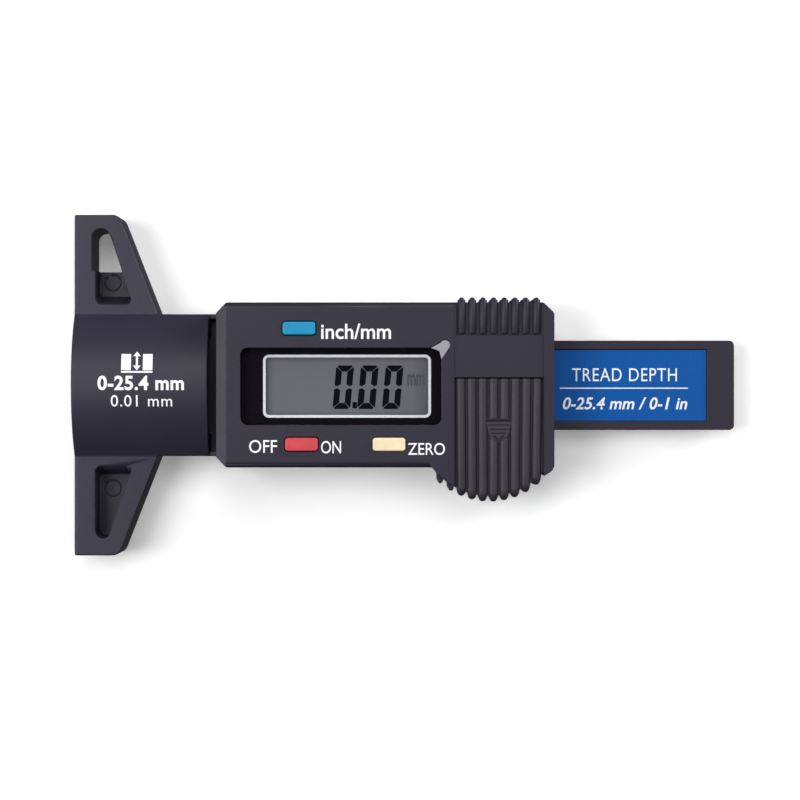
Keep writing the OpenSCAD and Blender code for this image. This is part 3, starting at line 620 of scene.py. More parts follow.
def folds(mesh: Mesh, least: float) -> list[Vector]:
    """Corners of triangles that turn against their own face, where two roundings crossed.

    Args:
        mesh: The rounded mesh.
        least: Smallest area that counts, in square metres.

    Returns:
        Places of the corners.
    """
    mesh.calc_loop_triangles()
    places: list[Vector] = []
    for triangle in mesh.loop_triangles:
        a, b, c = (mesh.vertices[number].co.copy() for number in triangle.vertices)
        outward = mesh.polygons[triangle.polygon_index].normal
        if triangle.area > least and (b - a).cross(c - a).dot(outward) < 0.0:
            places += [a, b, c]
    return places


def rounded_mesh(source: Mesh, width: float, segments: int, angle: float,
                 banned: set[int]) -> Mesh:
    """Bevel a mesh along its sharp edges, except at some of its vertices.

    Args:
        source: The mesh, left as it is.
        width: Width of the rounding in metres.
        segments: Faces across it.
        angle: Edges sharper than this many degrees are rounded.
        banned: Vertices whose edges stay sharp.

    Returns:
        The bevelled mesh, with material number 1 on the rounded faces.
    """
    obj = new_object("rounding", source.copy())
    bm = to_bmesh(obj.data)
    weight = bm.edges.layers.float.new("bevel_weight_edge")
    for edge in bm.edges:
        sharp = len(edge.link_faces) == 2 and edge.calc_face_angle() > math.radians(angle)
        edge[weight] = float(sharp and not banned & {vert.index for vert in edge.verts})
    bm.to_mesh(obj.data)
    bm.free()
    bevel = obj.modifiers.new("round", "BEVEL")
    bevel.width = width
    bevel.segments = segments
    bevel.limit_method = "WEIGHT"
    bevel.use_clamp_overlap = False
    bevel.material = 1
    mesh = baked(obj).data
    bpy.data.objects.remove(obj)
    return mesh


def soften(obj: Object, width: float, segments: int = 2, angle: float = 28.0) -> Object:
    """Round an object's edges a little and mark the rounded faces.

    Args:
        obj: The object; its mesh is replaced.
        width: Width of the rounding in millimetres.
        segments: Faces across it.
        angle: Edges sharper than this many degrees are rounded.

    Returns:
        The same object, with a face attribute that is 1 on the rounded faces.
    """
    source = obj.data
    tree = BVHTree.FromPolygons([v.co for v in source.vertices], [p.vertices[:] for p in source.polygons])
    corners = KDTree(len(source.vertices))
    for vertex in source.vertices:
        corners.insert(vertex.co, vertex.index)
    corners.balance()
    source.materials.clear()
    for name in ("flat", "edge"):
        source.materials.append(bpy.data.materials.get(name) or bpy.data.materials.new(name))
    banned: set[int] = set()
    for _ in range(TRIES):
        mesh = rounded_mesh(source, width * MM, segments, angle, banned)
        found = strays(mesh, tree, STRAY_SHARE * width * MM)
        spots = [place for _, place in found] + folds(mesh, (width * MM) ** 2)
        if not spots:
            break
        for place in spots:
            near = corners.find_n(place, 3)
            banned |= {number for _, number, gap in near if gap < SPARED_REACH * width * MM}
    for number, place in found:
        mesh.vertices[number].co = place
    LOG.info("%s: %d corners left sharp, %d mended", obj.name, len(banned), len(found))
    obj.data = mesh
    marks = [float(face.material_index) for face in mesh.polygons]
    attribute = mesh.attributes.new("edge", "FLOAT", "FACE")
    attribute.data.foreach_set("value", marks)
    mesh.polygons.foreach_set("material_index", [0] * len(mesh.polygons))
    mesh.polygons.foreach_set("use_smooth", [True] * len(mesh.polygons))
    mesh.set_sharp_from_angle(angle=math.radians(CREASE))
    weighted = obj.modifiers.new("even", "WEIGHTED_NORMAL")
    weighted.keep_sharp = True
    weighted.weight = 80
    baked(obj)
    obj.data.materials.clear()
    return obj


def merged_copy(node: str, name: str) -> Object:
    """Copy of a CAD node with its triangles merged into whole faces."""
    bm = to_bmesh(bpy.data.objects[node].data)
    bmesh.ops.remove_doubles(bm, verts=bm.verts, dist=SAME_PLACE)
    bmesh.ops.dissolve_degenerate(bm, edges=bm.edges, dist=SAME_PLACE)
    bmesh.ops.dissolve_limit(bm, angle_limit=math.radians(LEVEL_ANGLE), verts=bm.verts, edges=bm.edges)
    return from_bmesh(name, bm, outward=False)


def text_mesh(words: str, weight: float = 0.0, slant: float = 0.0, spacing: float = 1.0) -> Mesh:
    """Words as a thin solid of height 1, before it is fitted to its place."""
    curve = bpy.data.curves.new("words", "FONT")
    curve.body = words
    curve.size = 1.0
    curve.offset = weight
    curve.shear = slant
    curve.space_character = spacing
    curve.resolution_u = 5
    obj = bpy.data.objects.new("words", curve)
    bpy.context.collection.objects.link(obj)
    mesh = evaluated(obj)
    bpy.data.objects.remove(obj)
    return mesh


@dataclass(frozen=True)
class Print:
    """One printed line: its words and the box that it fills, in millimetres."""

    words: str
    low: Point2
    high: Point2
    weight: float = 0.0
    slant: float = 0.0
    spacing: float = 1.0

    def build(self, name: str, z: float, thickness: float = INK) -> Object:
        """Make the line on a level surface.

        Args:
            name: Name of the piece.
            z: Height of the surface in millimetres.
            thickness: Thickness of the ink in millimetres.

        Returns:
            The printed line.
        """
        bm = to_bmesh(text_mesh(self.words, self.weight, self.slant, self.spacing))
        bmesh.ops.remove_doubles(bm, verts=bm.verts, dist=1e-5)
        xs = [v.co.x for v in bm.verts]
        ys = [v.co.y for v in bm.verts]
        scale_x = (self.high[0] - self.low[0]) / (max(xs) - min(xs))
        scale_y = (self.high[1] - self.low[1]) / (max(ys) - min(ys))
        left, foot = min(xs), min(ys)
        for v in bm.verts:
            x = self.low[0] + (v.co.x - left) * scale_x
            y = self.low[1] + (v.co.y - foot) * scale_y
            v.co = (x * MM, y * MM, (z + thickness) * MM)
        for face in bm.faces:
            if face.normal.z < 0:
                face.normal_flip()
        return from_bmesh(name, bm)


def bent(obj: Object, radius: float, axis_z: float, lift: float = 0.015) -> Object:
    """Lay a flat print onto a cylinder along X.

    Args:
        obj: The print.
        radius: Radius of the cylinder in millimetres.
        axis_z: Height of its axis in millimetres.
        lift: Gap between print and cylinder in millimetres.

    Returns:
        The same object.
    """
    bm = to_bmesh(obj.data)
    ys = [v.co.y for v in bm.verts]
    step = BEND_STEP
    y = math.floor(min(ys) / step) * step
    while y < max(ys):
        geometry = bm.verts[:] + bm.edges[:] + bm.faces[:]
        bmesh.ops.bisect_plane(bm, geom=geometry, dist=1e-7, plane_co=(0, y, 0), plane_no=(0, 1, 0))
        y += step
    for v in bm.verts:
        reach = (radius + lift) * MM
        v.co.z = axis_z * MM + math.sqrt(reach * reach - v.co.y * v.co.y)
    bm.to_mesh(obj.data)
    bm.free()
    return obj


def dress(obj: Object, body: Body, slot: str | None, material: Material,
          *nodes: str) -> Object:
    """Give a piece its finish and fix it to its body.

    Args:
        obj: The piece.
        body: The CAD body that it moves with.
        slot: The record's material slot, or None; not used.
        material: Its finish.
        *nodes: CAD nodes that it stands for.

    Returns:
        The same piece.
    """
    obj.data.materials.clear()
    obj.data.materials.append(material)
    if "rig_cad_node" not in obj:
        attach(obj, body.value)
    if nodes:
        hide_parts(*nodes)
    LOG.info("%s on %s: %d faces", obj.name, body.value, len(obj.data.polygons))
    return obj


def shell(node: str, body: Body, slot: str, material: Material, rounding: float) -> Object:
    """Stand a softened copy in for a CAD node.

    Args:
        node: The CAD node.
        body: Its body.
        slot: Its material slot.
        material: Its finish.
        rounding: Width of the edge rounding in millimetres.

    Returns:
        The new piece.
    """
    copy = soften(merged_copy(node, node + "_skin"), rounding)
    return dress(copy, body, slot, material, node)


def extents(node: str) -> tuple[Vector, Vector]:
    """Corners of a CAD node in millimetres."""
    low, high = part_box(node)
    return low / MM, high / MM


def islands(node: str) -> list[tuple[Vector, Vector]]:
    """Corners of each loose solid of a CAD node, in millimetres."""
    bm = to_bmesh(bpy.data.objects[node].data)
    bmesh.ops.remove_doubles(bm, verts=bm.verts, dist=SAME_PLACE)
    left = set(bm.verts)
    found = []
    while left:
        group, queue = [], [left.pop()]
        while queue:
            vert = queue.pop()
            group.append(vert.co / MM)
            near = {edge.other_vert(vert) for edge in vert.link_edges} & left
            left -= near
            queue.extend(near)
        found.append((Vector(map(min, *group)), Vector(map(max, *group))))
    bm.free()
    return sorted(found, key=lambda corners: (corners[0].x, corners[0].y))


# ---------------------------------------------------------------- repeated shapes


class Pattern(Graph):
    """A Geometry Nodes tree with named inputs that ends in a plain, finished mesh."""

    def __init__(self, name: str, sizes: Sequence[str], objects: Sequence[str] = ()) -> None:
        """Open a tree.

        Args:
            name: Name of the tree.
            sizes: Names of its number inputs.
            objects: Names of its object inputs.
        """
        super().__init__(bpy.data.node_groups.new(name, "GeometryNodeTree"))
        face = self.tree.interface
        self.ids: dict[str, str] = {}
        table = (("Geometry", ["Geometry"]), ("Float", sizes), ("Object", objects), ("Material", ["Material"]))
        for kind, names in table:
            for given in names:
                socket = face.new_socket(name=given, in_out="INPUT", socket_type="NodeSocket" + kind)
                self.ids[given] = socket.identifier
        face.new_socket(name="Geometry", in_out="OUTPUT", socket_type="NodeSocketGeometry")
        self.start = self.add("NodeGroupInput")

    def given(self, name: str) -> Value:
        """One of the tree's inputs."""
        return Value(self, self.start.outputs[name])

    def geo(self, kind: str, settings: dict[str, Any] | None = None, **inputs: Any) -> Value:
        """Add a geometry node by its short name, with underscores for spaces in its inputs."""
        named = {key.replace("_", " "): given for key, given in inputs.items()}
        return self.value("GeometryNode" + kind, settings, named)

    def vector(self, x: Any, y: Any, z: Any) -> Value:
        """Three numbers as a vector."""
        return self.value("ShaderNodeCombineXYZ", None, {0: x, 1: y, 2: z})

    def close(self, geometry: Value, smooth: bool = True) -> None:
        """End the tree: realise, shade and set the material."""
        real = self.geo("RealizeInstances", Geometry=geometry)
        shaded = self.geo("SetShadeSmooth", Geometry=real, Shade_Smooth=smooth)
        final = self.geo("SetMaterial", Geometry=shaded, Material=self.given("Material"))
        self.add("NodeGroupOutput", None, {"Geometry": final})

    def run(self, obj: Object, **values: Any) -> Object:
        """Run the tree on an object and leave a plain mesh.

        Args:
            obj: The object that carries the points.
            **values: The tree's inputs, with underscores for spaces.

        Returns:
            The same object.
        """
        modifier = obj.modifiers.new("pattern", "NODES")
        modifier.node_group = self.tree
        for key, given in values.items():
            modifier[self.ids[key.replace("_", " ")]] = given
        return baked(obj)


def points(name: str, places: Iterable[Sequence[float]]) -> Object:
    """Mesh of loose points, given in millimetres."""
    mesh = bpy.data.meshes.new(name)
    mesh.from_pydata([tuple(c * MM for c in place) for place in places], [], [])
    return new_object(name, mesh)


class Copies(Pattern):
    """A unit piece on every point, each turned by chance within a limit."""

    SEED = 7

    def __init__(self) -> None:
        """Build the tree."""
        super().__init__("copies", ["Turn"], ["Unit"])
        unit = self.add("GeometryNodeObjectInfo", {"transform_space": "ORIGINAL"}, {"Object": self.given("Unit")})
        chance = {2: 0.0, 3: self.given("Turn"), "Seed": self.SEED}
        turn = self.value("FunctionNodeRandomValue", {"data_type": "FLOAT"}, chance, 1)
        placed = self.geo("InstanceOnPoints", Points=self.start.outputs["Geometry"],
                          Instance=unit.outputs["Geometry"], Rotation=self.vector(0.0, 0.0, turn))
        self.close(placed, smooth=False)

    def place(self, name: str, unit: Object, places: Iterable[Sequence[float]],
              material: Material, turn: float = 0.0) -> Object:
        """Put a unit on each place and remove the unit itself."""
        made = self.run(points(name, places), Turn=turn, Unit=unit, Material=material)
        bpy.data.objects.remove(unit)
        return made


class BentRibs(Pattern):
    """Parallel rods that run along a plate, turn its curved edge and run down its side."""

    SIZES = ("Count", "Pitch", "First X", "Top Y", "Centre X", "Centre Y", "Reach", "Rib Z", "Foot Z",
             "Rib Radius", "Tooth Radius", "Corner", "Squeeze", "Squeeze X")

    def __init__(self) -> None:
        """Build the tree."""
        super().__init__("bent_ribs", self.SIZES)
        given = self.given
        edge_y = given("Centre Y") - given("Reach")
        index = self.geo("InputIndex")
        bent = index.math("GREATER_THAN", index, 0.5)
        low = index.math("GREATER_THAN", index, 1.5)
        path_y = given("Top Y") + bent * (edge_y - given("Top Y"))
        path_z = given("Rib Z") + low * (given("Foot Z") - given("Rib Z"))
        line = self.geo("MeshLine", Count=3)
        placed = self.geo("SetPosition", Geometry=line, Position=self.vector(0.0, path_y, path_z))
        path = self.geo("MeshToCurve", Mesh=placed)
        round_path = self.geo("FilletCurve", {"mode": "POLY"}, Curve=path, Count=6, Radius=given("Corner"))
        circle = self.geo("CurvePrimitiveCircle", Resolution=16, Radius=1.0)
        height = self.part("Z")
        level = ((height - given("Foot Z")) / (given("Rib Z") - given("Foot Z"))) ** 6.0
        width = given("Tooth Radius") + level * (given("Rib Radius") - given("Tooth Radius"))
        rod = self.geo("CurveToMesh", Curve=round_path, Profile_Curve=circle, Scale=width, Fill_Caps=True)
        spots = self.geo("MeshLine", Count=given("Count"), Start_Location=self.vector(given("First X"), 0.0, 0.0),
                         Offset=self.vector(given("Pitch"), 0.0, 0.0))
        named = self.geo("StoreNamedAttribute", {"data_type": "FLOAT", "domain": "POINT"},
                         Geometry=spots, Name="rib_x", Value=self.part("X"))
        rods = self.geo("InstanceOnPoints", Points=named, Instance=rod)
        real = self.geo("RealizeInstances", Geometry=rods)
        rib_x = self.geo("InputNamedAttribute", {"data_type": "FLOAT"}, Name="rib_x")
        off = rib_x - given("Centre X")
        short = given("Reach") - (given("Reach") * given("Reach") - off * off).root()
        share = ((given("Top Y") - self.part("Y")) / (given("Top Y") - edge_y)).clamped()
        aside = share * given("Squeeze") * (given("Squeeze X") - rib_x)
        self.close(self.geo("SetPosition", Geometry=real, Offset=self.vector(aside, share * short, 0.0)))

    def part(self, axis: str) -> Value:
        """One coordinate of the position."""
        split = self.add("ShaderNodeSeparateXYZ", None, {0: self.geo("InputPosition")})
        return Value(self, split.outputs[axis])


# ---------------------------------------------------------------- sub-assemblies


@dataclass
class Foot:
    """Measuring foot: hooded neck, two pocketed wings and the print on the hood."""

    palette: Palette
    hood_radius: float = 16.06
    rounding: float = 0.27
    range_line: Print = Print("0-25.4 mm", (-49.2, -0.85), (-35.4, 1.5), 0.03, spacing=1.06)
    step_line: Print = Print("0.01 mm", (-47.1, -3.45), (-37.3, -1.6), 0.004, spacing=1.1)
    emblem_at: Point2 = (-42.95, 3.85)

    def build(self) -> None:
        """Build the foot and its print."""
        shell("base_foot", Body.HOUSING, "foot_plastic", self.palette.foot, self.rounding)
        axis_z = extents("base_foot")[1].z - self.hood_radius
        lines = [self.range_line.build("range_line", 0.0), self.step_line.build("step_line", 0.0)]
        for line in lines + [self.emblem()]:
            bent(line, self.hood_radius, axis_z)
            dress(line, Body.HOUSING, None, self.palette.print)

    def emblem(self) -> Object:
        """Plain sign for tread depth: three tread blocks with a double-headed arrow in a groove."""
        x, y = self.emblem_at
        shapes = [box(-2.5, -1.5, -0.95, 1.1), box(0.95, -1.5, 2.5, 1.1), box(-2.5, -1.9, 2.5, -1.62)]
        shapes.append([(-0.62, -0.75), (0.0, -1.5), (0.62, -0.75), (0.17, -0.75), (0.17, 0.75),
                       (0.62, 0.75), (0.0, 1.5), (-0.62, 0.75), (-0.17, 0.75), (-0.17, -0.75)])
        bm = bmesh.new()
        for shape in shapes:
            bm.faces.new([bm.verts.new(((x + px) * MM, (y + py) * MM, 0.0)) for px, py in shape])
        return from_bmesh("depth_emblem", bm, outward=False)


@dataclass
class Housing:
    """Two moulded covers and the legends printed beside the buttons."""

    palette: Palette
    rounding: float = 0.14
    legends: tuple[Print, ...] = (
        Print("inch/mm", (-13.50, 7.28), (-2.38, 9.75), 0.014),
        Print("OFF", (-24.94, -10.81), (-20.49, -8.75), 0.004),
        Print("ON", (-13.50, -10.9), (-10.32, -8.90), 0.004),
        Print("ZERO", (0.32, -11.13), (6.20, -9.22), 0.004),
    )

    def build(self) -> None:
        """Build the covers and legends."""
        shell("rear_cover", Body.HOUSING, "shell_plastic", self.palette.shell, self.rounding)
        shell("front_cover", Body.HOUSING, "shell_plastic", self.palette.shell, self.rounding)
        face_z = extents("front_cover")[1].z
        for number, legend in enumerate(self.legends, 1):
            dress(legend.build(f"legend_{number}", face_z), Body.HOUSING, None, self.palette.print)


@dataclass
class Display:
    """Clear window with its gate mark, the printed border behind it and the lit display."""

    palette: Palette
    digits_left: tuple[float, ...] = (-11.77, -7.82, -3.85)
    digits_low: float = -3.84
    digit_w: float = 2.85
    digit_h: float = 6.98
    stroke: float = 0.98
    slot_gap: float = 0.06
    lean: float = 0.09
    unit: Print = Print("mm", (0.2, -0.1), (3.0, 1.76), 0.03)
    line_low: Point2 = (-22.86, -5.23)
    line_high: Point2 = (4.01, 4.85)
    line_w: float = 0.44
    line_r: float = 0.95
    gate_h: float = 0.73
    corner_cut: float = 0.34
    film: float = 0.004

    def build(self) -> None:
        """Build the display from the glass outwards."""
        self.window()
        self.border()
        self.segments()

    def window(self) -> None:
        """Split the window node's skin into clear window and frosted gate."""
        cut_z = extents("display_lens")[1].z - self.gate_h
        for name, upper in (("display_window", False), ("window_gate", True)):
            piece = merged_copy("display_lens", name)
            bm = to_bmesh(piece.data)
            geometry = bm.verts[:] + bm.edges[:] + bm.faces[:]
            cut = bmesh.ops.bisect_plane(bm, geom=geometry, dist=1e-7, plane_co=(0, 0, cut_z * MM),
                                         plane_no=(0, 0, 1), clear_inner=upper, clear_outer=not upper)
            edges = [e for e in cut["geom_cut"] if isinstance(e, BMEdge)]
            bmesh.ops.holes_fill(bm, edges=edges, sides=0)
            bm.to_mesh(piece.data)
            bm.free()
            if upper:
                soften(piece, 0.18, 3)
                dress(piece, Body.HOUSING, None, self.palette.gate)
            else:
                soften(piece, 0.1)
                dress(piece, Body.HOUSING, "lens_plastic", self.palette.lens, "display_lens")

    def border(self) -> None:
        """Black print with a silver line, on the back of the window."""
        low, high = extents("display_lens")
        back = low.z
        (x0, y0), (x1, y1) = self.line_low, self.line_high
        w = self.line_w
        inner = rounded(x0 + w, y0 + w, x1 - w, y1 - w, self.line_r - w)
        outer = rounded(low.x + 0.1, low.y + 0.1, high.x - 0.5, high.y - 0.3, 1.6)
        mask = ring("border_mask", outer, inner, back - 0.045, back - 0.03)
        dress(mask, Body.HOUSING, None, self.palette.mask)
        line = ring("border_line", rounded(x0, y0, x1, y1, self.line_r), inner, back - 0.03, back - 0.012)
        dress(line, Body.HOUSING, None, self.palette.line)

    def digit(self, left: float) -> list[list[Point2]]:
        """Outlines of the six lit bars of a nought."""
        w, h, s, g, c = self.digit_w, self.digit_h, self.stroke, self.slot_gap, self.corner_cut
        mid = h / 2
        bars = [
            [(g + c * 0.4, h - c * 0.55), (g + c, h), (w - g - c, h), (w - g - c * 0.4, h - c * 0.55),
             (w - s - g * 0.4, h - s), (s + g * 0.4, h - s)],
            [(g + c * 0.4, c * 0.55), (g + c, 0), (w - g - c, 0), (w - g - c * 0.4, c * 0.55),
             (w - s - g * 0.4, s), (s + g * 0.4, s)],
        ]
        for side in (0, 1):
            for half in (0, 1):
                bar = [(0, mid + 0.32), (0, h - c * 1.35), (c * 0.3, h - c * 0.8), (s, h - s - g), (s, mid + 0.5),
                       (s * 0.5, mid + 0.16)]
                if half:
                    bar = [(x, h - y) for x, y in bar]
                if side:
                    bar = [(w - x, y) for x, y in bar]
                bars.append(bar)
        return [[(left + x + self.lean * y, self.digits_low + y) for x, y in bar] for bar in bars]

    def segments(self) -> None:
        """Glass node, lit bars, decimal point and unit."""
        glass = bpy.data.objects["lcd_panel"]
        dress(glass, Body.HOUSING, "display_glass", self.palette.glass)
        top = extents("lcd_panel")[1].z
        bars: list[list[Point2]] = []
        for left in self.digits_left:
            bars += self.digit(left)
        point_x = self.digits_left[1] - 0.74
        bars.append(rounded(point_x, -3.74, point_x + 0.72, -2.72, 0.12))
        low_z = top + self.film
        lit = joined("lit_segments", [prism("bar", bar, low_z, low_z + INK) for bar in bars])
        dress(lit, Body.HOUSING, None, self.palette.segments)
        dress(self.unit.build("lit_unit", top), Body.HOUSING, None, self.palette.faint)


@dataclass
class Keys:
    """Three rubbery press keys."""

    palette: Palette
    rounding: float = 0.2

    def build(self) -> None:
        """Build the keys."""
        rows = (("unit_button", Body.UNIT_KEY, "blue_plastic", self.palette.blue),
                ("power_button", Body.POWER_KEY, "red_plastic", self.palette.red),
                ("zero_button", Body.ZERO_KEY, "cream_plastic", self.palette.cream))
        for node, body, slot, material in rows:
            shell(node, body, slot, material, self.rounding)


@dataclass
class BatteryCover:
    """Sliding cover: flat plate, curved skirt, bent ribs and an arrow mark."""

    palette: Palette
    ribs: int = 8
    bulge_x: float = 13.35
    bulge_y: float = -6.1
    bulge_r: float = 11.6
    wall: float = 1.5
    lip_w: float = 0.55
    lip_t: float = 0.6
    plate_t: float = 0.8
    rib_h: float = 0.7
    rib_r: float = 0.8
    tooth_r: float = 0.46
    tooth_squeeze: float = 0.03
    tooth_reach: float = 0.8
    mark_at: Point2 = (14.75, -6.85)
    mark_depth: float = 0.22

    def edge_y(self, x: float, radius: float) -> float:
        """Height of the bulge's lower edge at some x."""
        return self.bulge_y - math.sqrt(radius * radius - (x - self.bulge_x) ** 2)

    def outline(self, x0: float, x1: float, top: float, radius: float) -> list[Point2]:
        """Plate outline: straight top and sides, curved foot."""
        return [(x, self.edge_y(x, radius)) for x in self.steps(x0, x1)] + [(x1, top), (x0, top)]

    def steps(self, x0: float, x1: float) -> list[float]:
        """Even steps between two x."""
        return [x0 + (x1 - x0) * i / CURVE_STEPS for i in range(CURVE_STEPS + 1)]

    def build(self) -> None:
        """Build the cover."""
        low, high = extents("battery_cover")
        floor_z = high.z - self.rib_h
        plate_z = floor_z - self.plate_t
        left, right = low.x + self.lip_w, high.x - self.lip_w
        plate = prism("plate", self.outline(left, right, high.y, self.bulge_r), plate_z, floor_z)
        lip = prism("lip", self.outline(low.x, high.x, high.y, self.bulge_r - 0.05), plate_z, plate_z + self.lip_t)
        skirt = prism("skirt", self.skirt_outline(left, right), low.z, plate_z + 0.1)
        body = soften(joined("cover_body", [plate, lip, skirt]), 0.1)
        dress(body, Body.CELL_COVER, "shell_plastic", self.palette.cover, "battery_cover")
        pitch = (right - left) / self.ribs
        ribs = BentRibs().run(
            new_object("cover_ribs", bpy.data.meshes.new("cover_ribs")),
            Count=float(self.ribs), Pitch=pitch * MM, First_X=(left + pitch / 2) * MM, Top_Y=high.y * MM,
            Centre_X=self.bulge_x * MM, Centre_Y=self.bulge_y * MM,
            Reach=(self.bulge_r + self.tooth_reach - self.tooth_r) * MM, Rib_Z=(high.z - self.rib_r) * MM,
            Foot_Z=(low.z + 0.05) * MM, Rib_Radius=self.rib_r * MM, Tooth_Radius=self.tooth_r * MM,
            Corner=0.9 * MM, Squeeze=self.tooth_squeeze, Squeeze_X=self.bulge_x * MM, Material=self.palette.cover)
        self.cut_mark(ribs, floor_z, high.z)
        dress(ribs, Body.CELL_COVER, "shell_plastic", self.palette.cover)

    def skirt_outline(self, x0: float, x1: float) -> list[Point2]:
        """Curved wall below the plate."""
        xs = self.steps(x0, x1)
        outer = [(x, self.edge_y(x, self.bulge_r)) for x in xs]
        inner = [(x, self.edge_y(x, self.bulge_r - self.wall)) for x in reversed(xs)]
        return outer + inner

    def cut_mark(self, ribs: Object, floor: float, top: float) -> None:
        """Sink a shield into the ribs and lay the arrow mark on it as flat near-black sheets of painted groove
        shade.
        """
        x, y = self.mark_at
        half = [(2.1, 1.5), (2.1, 0.9), (1.9, 0.5), (1.6, -1.05), (0.9, -1.7), (0.0, -2.5)]
        shield = [(x + px, y + py) for px, py in half] + [(x - px, y + py) for px, py in reversed(half[:-1])]
        carved(ribs, prism("shield", shield, floor + 0.04, top + 1.0))
        level = top - self.mark_depth
        plate = prism("cover_mark", shield, floor - 0.1, level)
        dress(soften(plate, 0.08), Body.CELL_COVER, "shell_plastic", self.palette.cover)
        # the strokes are thin flat sheets in near-black: painted shade standing in for the shade inside real
        # grooves
        lines = ((2.0, 0.95, 1.42), (1.75, 0.4, 0.58), (1.5, -0.3, -0.1), (1.25, -0.95, -0.75))
        shapes = [box(-wide, low, wide, high) for wide, low, high in lines]
        shapes.append([(-0.95, -1.15), (-0.5, -1.15), (0.0, -1.95), (0.5, -1.15), (0.95, -1.15), (0.0, -2.4)])
        groove_shades = [prism("groove", [(x + px, y + py) for px, py in shape], level + 0.004, level + 0.012)
                   for shape in shapes]
        dress(joined("mark_grooves", groove_shades), Body.CELL_COVER, None, self.palette.groove)


@dataclass
class Slider:
    """Beam with its label, scale strip and probe pin."""

    palette: Palette
    rounding: float = 0.16
    title: Print = Print("TREAD DEPTH", (27.1, 0.67), (44.2, 2.79), 0.0, spacing=1.08)
    rule_low: Point2 = (25.13, -0.56)
    rule_high: Point2 = (45.99, -0.38)
    span: Print = Print("0-25.4 mm / 0-1 in", (25.6, -3.95), (45.9, -1.95), 0.018, 0.22, 1.02)

    def build(self) -> None:
        """Build the slider."""
        shell("beam", Body.SLIDER, "beam_plastic", self.palette.beam, self.rounding)
        for node, slot, material in (("beam_label", "label_film", self.palette.label),
                                     ("scale_strip", "scale_laminate", self.palette.scale),
                                     ("probe_pin", "steel", self.palette.steel)):
            dress(bpy.data.objects[node], Body.SLIDER, slot, material)
        top = extents("beam_label")[1].z
        rule = prism("label_rule", box(*self.rule_low, *self.rule_high), top, top + INK)
        for piece in (self.title.build("label_title", top), rule, self.span.build("label_span", top)):
            dress(piece, Body.SLIDER, None, self.palette.label_print)


@dataclass
class Internals:
    """Pieces inside the housing, and the screws that close it."""

    palette: Palette
    copies: Copies
    head_h: float = 0.85
    shank_r: float = 0.85
    cross_len: float = 1.9
    cross_w: float = 0.42
    cross_depth: float = 0.5
    thread_pitch: float = 0.35
    pad_pitch: float = 0.9

    def build(self) -> None:
        """Finish the inner nodes and add the repeated details."""
        inner = (("lcd_holder", "white_plastic", self.palette.white),
                 ("zebra_strip", "connector_rubber", self.palette.rubber),
                 ("circuit_board", "board", self.palette.board),
                 ("controller_chip", "chip_resin", self.palette.resin),
                 ("quartz_crystal", "nickel", self.palette.nickel),
                 ("switch_domes", "nickel", self.palette.nickel),
                 ("battery_cell", "cell_steel", self.palette.cell),
                 ("positive_contact", "nickel", self.palette.nickel),
                 ("negative_contact", "nickel", self.palette.nickel),
                 ("gib_spring", "bronze", self.palette.bronze))
        for node, slot, material in inner:
            dress(bpy.data.objects[node], Body.HOUSING, slot, material)
        self.pads()
        for node in ("housing_screws", "foot_screws"):
            self.screws(node)

    def screw(self, head_r: float, length: float) -> Object:
        """One screw, head down on the origin, with a crowned rim and a cross recess."""
        rim = 0.22
        profile = [(0.0, 0.0), (head_r - rim, 0.0)]
        profile += [(x, -y) for x, y in arc(head_r - rim, -rim, rim, 90.0, 0.0, 4)[1:]]
        profile += [(head_r, self.head_h), (self.shank_r, self.head_h)]
        turns = int((length - self.head_h - 0.6) / self.thread_pitch)
        for i in range(turns):
            z = self.head_h + 0.2 + i * self.thread_pitch
            profile += [(self.shank_r - 0.14, z), (self.shank_r, z + 0.17)]
        profile += [(self.shank_r - 0.14, length - 0.2), (0.0, length)]
        bm = bmesh.new()
        verts = [bm.verts.new((x * MM, 0.0, z * MM)) for x, z in profile]
        edges = [bm.edges.new(pair) for pair in zip(verts, verts[1:])]
        bmesh.ops.spin(bm, geom=verts + edges, cent=(0, 0, 0), axis=(0, 0, 1), angle=math.tau, steps=32,
                       use_merge=True)
        bmesh.ops.remove_doubles(bm, verts=bm.verts, dist=1e-6)
        screw = from_bmesh("screw", bm)
        for turn in (False, True):
            half = (self.cross_w / 2, self.cross_len / 2) if turn else (self.cross_len / 2, self.cross_w / 2)
            x, y = half
            carved(screw, prism("slot", box(-x, -y, x, y), -1.0, self.cross_depth))
        return screw

    def screws(self, node: str) -> None:
        """Stand turned screws in for a node of screws."""
        found = islands(node)
        low, high = found[0]
        unit = self.screw((high.x - low.x) / 2, high.z - low.z)
        places = [((a.x + b.x) / 2, (a.y + b.y) / 2, a.z) for a, b in found]
        made = self.copies.place(node + "_turned", unit, places, self.palette.screw, math.pi / 2)
        made.data.set_sharp_from_angle(angle=math.radians(35))
        dress(made, Body.HOUSING, "black_screws", self.palette.screw, node)

    def pads(self) -> None:
        """Gold pads in a row on the board, beside the display connector."""
        low, high = extents("zebra_strip")
        board_top = extents("circuit_board")[1].z
        unit = prism("pad", box(-0.28, -0.16, 0.28, 0.16), 0.0, 0.03)
        count = int((high.x - low.x) / self.pad_pitch)
        places = [(low.x + 0.6 + i * self.pad_pitch, high.y + 0.45, board_top) for i in range(count)]
        pads = self.copies.place("board_pads", unit, places, self.palette.gold)
        dress(pads, Body.HOUSING, None, self.palette.gold)


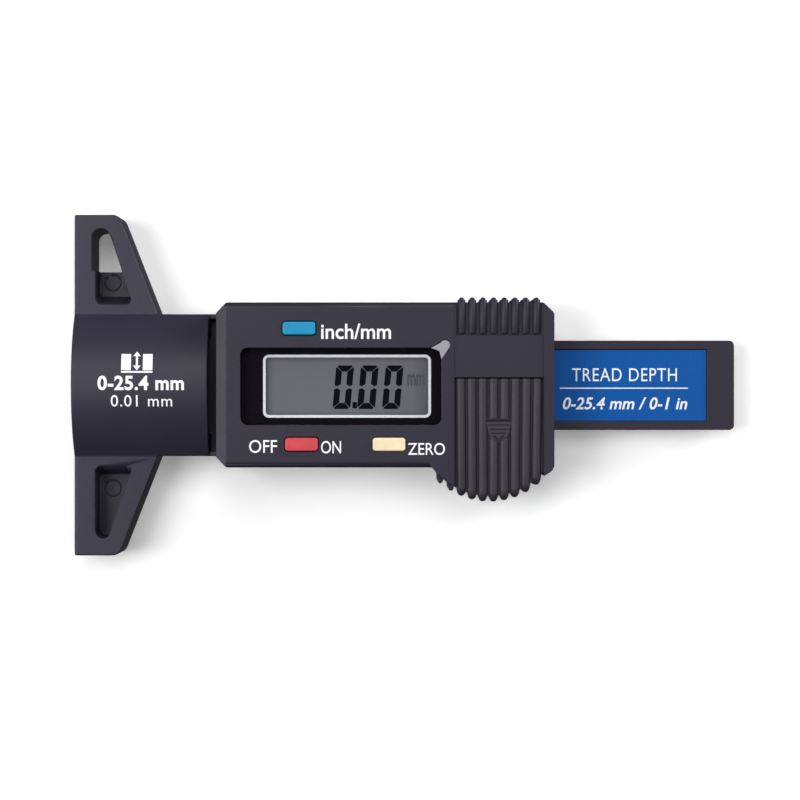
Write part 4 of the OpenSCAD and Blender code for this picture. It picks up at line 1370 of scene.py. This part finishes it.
@dataclass
class Studio:
    """Pale table, soft lights (name, place, size and power of each) and the camera."""

    camera_height: float = 0.42
    camera_at: Point2 = (-0.95, -2.4)
    lens: float = 114.4
    fill: float = 0.14
    lamps: tuple[tuple[str, tuple[float, float, float], float, float], ...] = (
        ("left", (-0.34, 0.02, 0.58), 0.35, 2.5),
        ("upper", (-0.03, 0.26, 0.62), 0.3, 1.1),
        ("right", (0.32, 0.03, 0.6), 0.35, 0.9),
        ("low_left", (-0.6, 0.0, 0.14), 0.3, 1.6),
        ("low_right", (0.55, 0.32, 0.17), 0.3, 3.2),
    )

    def build(self) -> None:
        """Build the stage."""
        self.table()
        for lamp in self.lamps:
            self.light(*lamp)
        world = bpy.data.worlds.new("room")
        world.use_nodes = True
        room = Graph(world.node_tree)
        room.tree.nodes.clear()
        coords = room.add("ShaderNodeTexCoord").outputs["Generated"]
        split = room.add("ShaderNodeSeparateXYZ", None, {0: coords})
        level = Value(room, split.outputs[1]).ramp(-0.7, 0.7) * self.fill + self.fill * 0.3
        sky = room.add("ShaderNodeBackground", None, {"Color": (0.95, 0.97, 1.0, 1.0), "Strength": level})
        room.add("ShaderNodeOutputWorld", None, {"Surface": sky.outputs[0]})
        bpy.context.scene.world = world
        bpy.context.scene.view_settings.view_transform = "Standard"
        self.camera()

    def table(self) -> None:
        """Pale table top."""
        shade = Shade("table_white")
        grain = shade.noise(3 * MM, 4.0)
        shade.feed("Base Color", shade.blend(grain.ramp(0.3, 0.7), (0.86, 0.86, 0.86), (0.9, 0.9, 0.9)))
        shade.feed("Roughness", (grain - 0.5) * 0.1 + 0.7)
        shade.feed("Emission Color", (1.0, 1.0, 1.0, 1.0))
        shade.feed("Emission Strength", 0.2)
        half = 1500.0
        table = prism("table", box(-half, -half, half, half), -20.0, -0.02)
        table.data.materials.append(shade.material)
        table.visible_diffuse = False
        table.visible_glossy = False

    def light(self, name: str, place: tuple[float, float, float], size: float, power: float) -> None:
        """One soft square light aimed at the gauge."""
        data = bpy.data.lights.new(name, "AREA")
        data.shape = "DISK"
        data.size = size
        data.energy = power
        lamp = bpy.data.objects.new(name, data)
        lamp.location = place
        lamp.rotation_euler = (-Vector(place)).to_track_quat("-Z", "Y").to_euler()
        bpy.context.collection.objects.link(lamp)

    def camera(self) -> None:
        """Camera straight above the display side."""
        data = bpy.data.cameras.new("camera")
        data.lens = self.lens
        data.sensor_width = 36.0
        camera = bpy.data.objects.new("camera", data)
        camera.location = (self.camera_at[0] * MM, self.camera_at[1] * MM, self.camera_height)
        bpy.context.collection.objects.link(camera)
        bpy.context.scene.camera = camera


def main() -> None:
    """Build the gauge's looks on its frame."""
    logging.basicConfig(level=logging.INFO, format="%(name)s %(message)s")
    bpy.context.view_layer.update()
    palette = Palette()
    Foot(palette).build()
    Housing(palette).build()
    Display(palette).build()
    Keys(palette).build()
    BatteryCover(palette).build()
    Slider(palette).build()
    Internals(palette, Copies()).build()
    Studio().build()


if __name__ == "__main__":
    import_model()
    main()
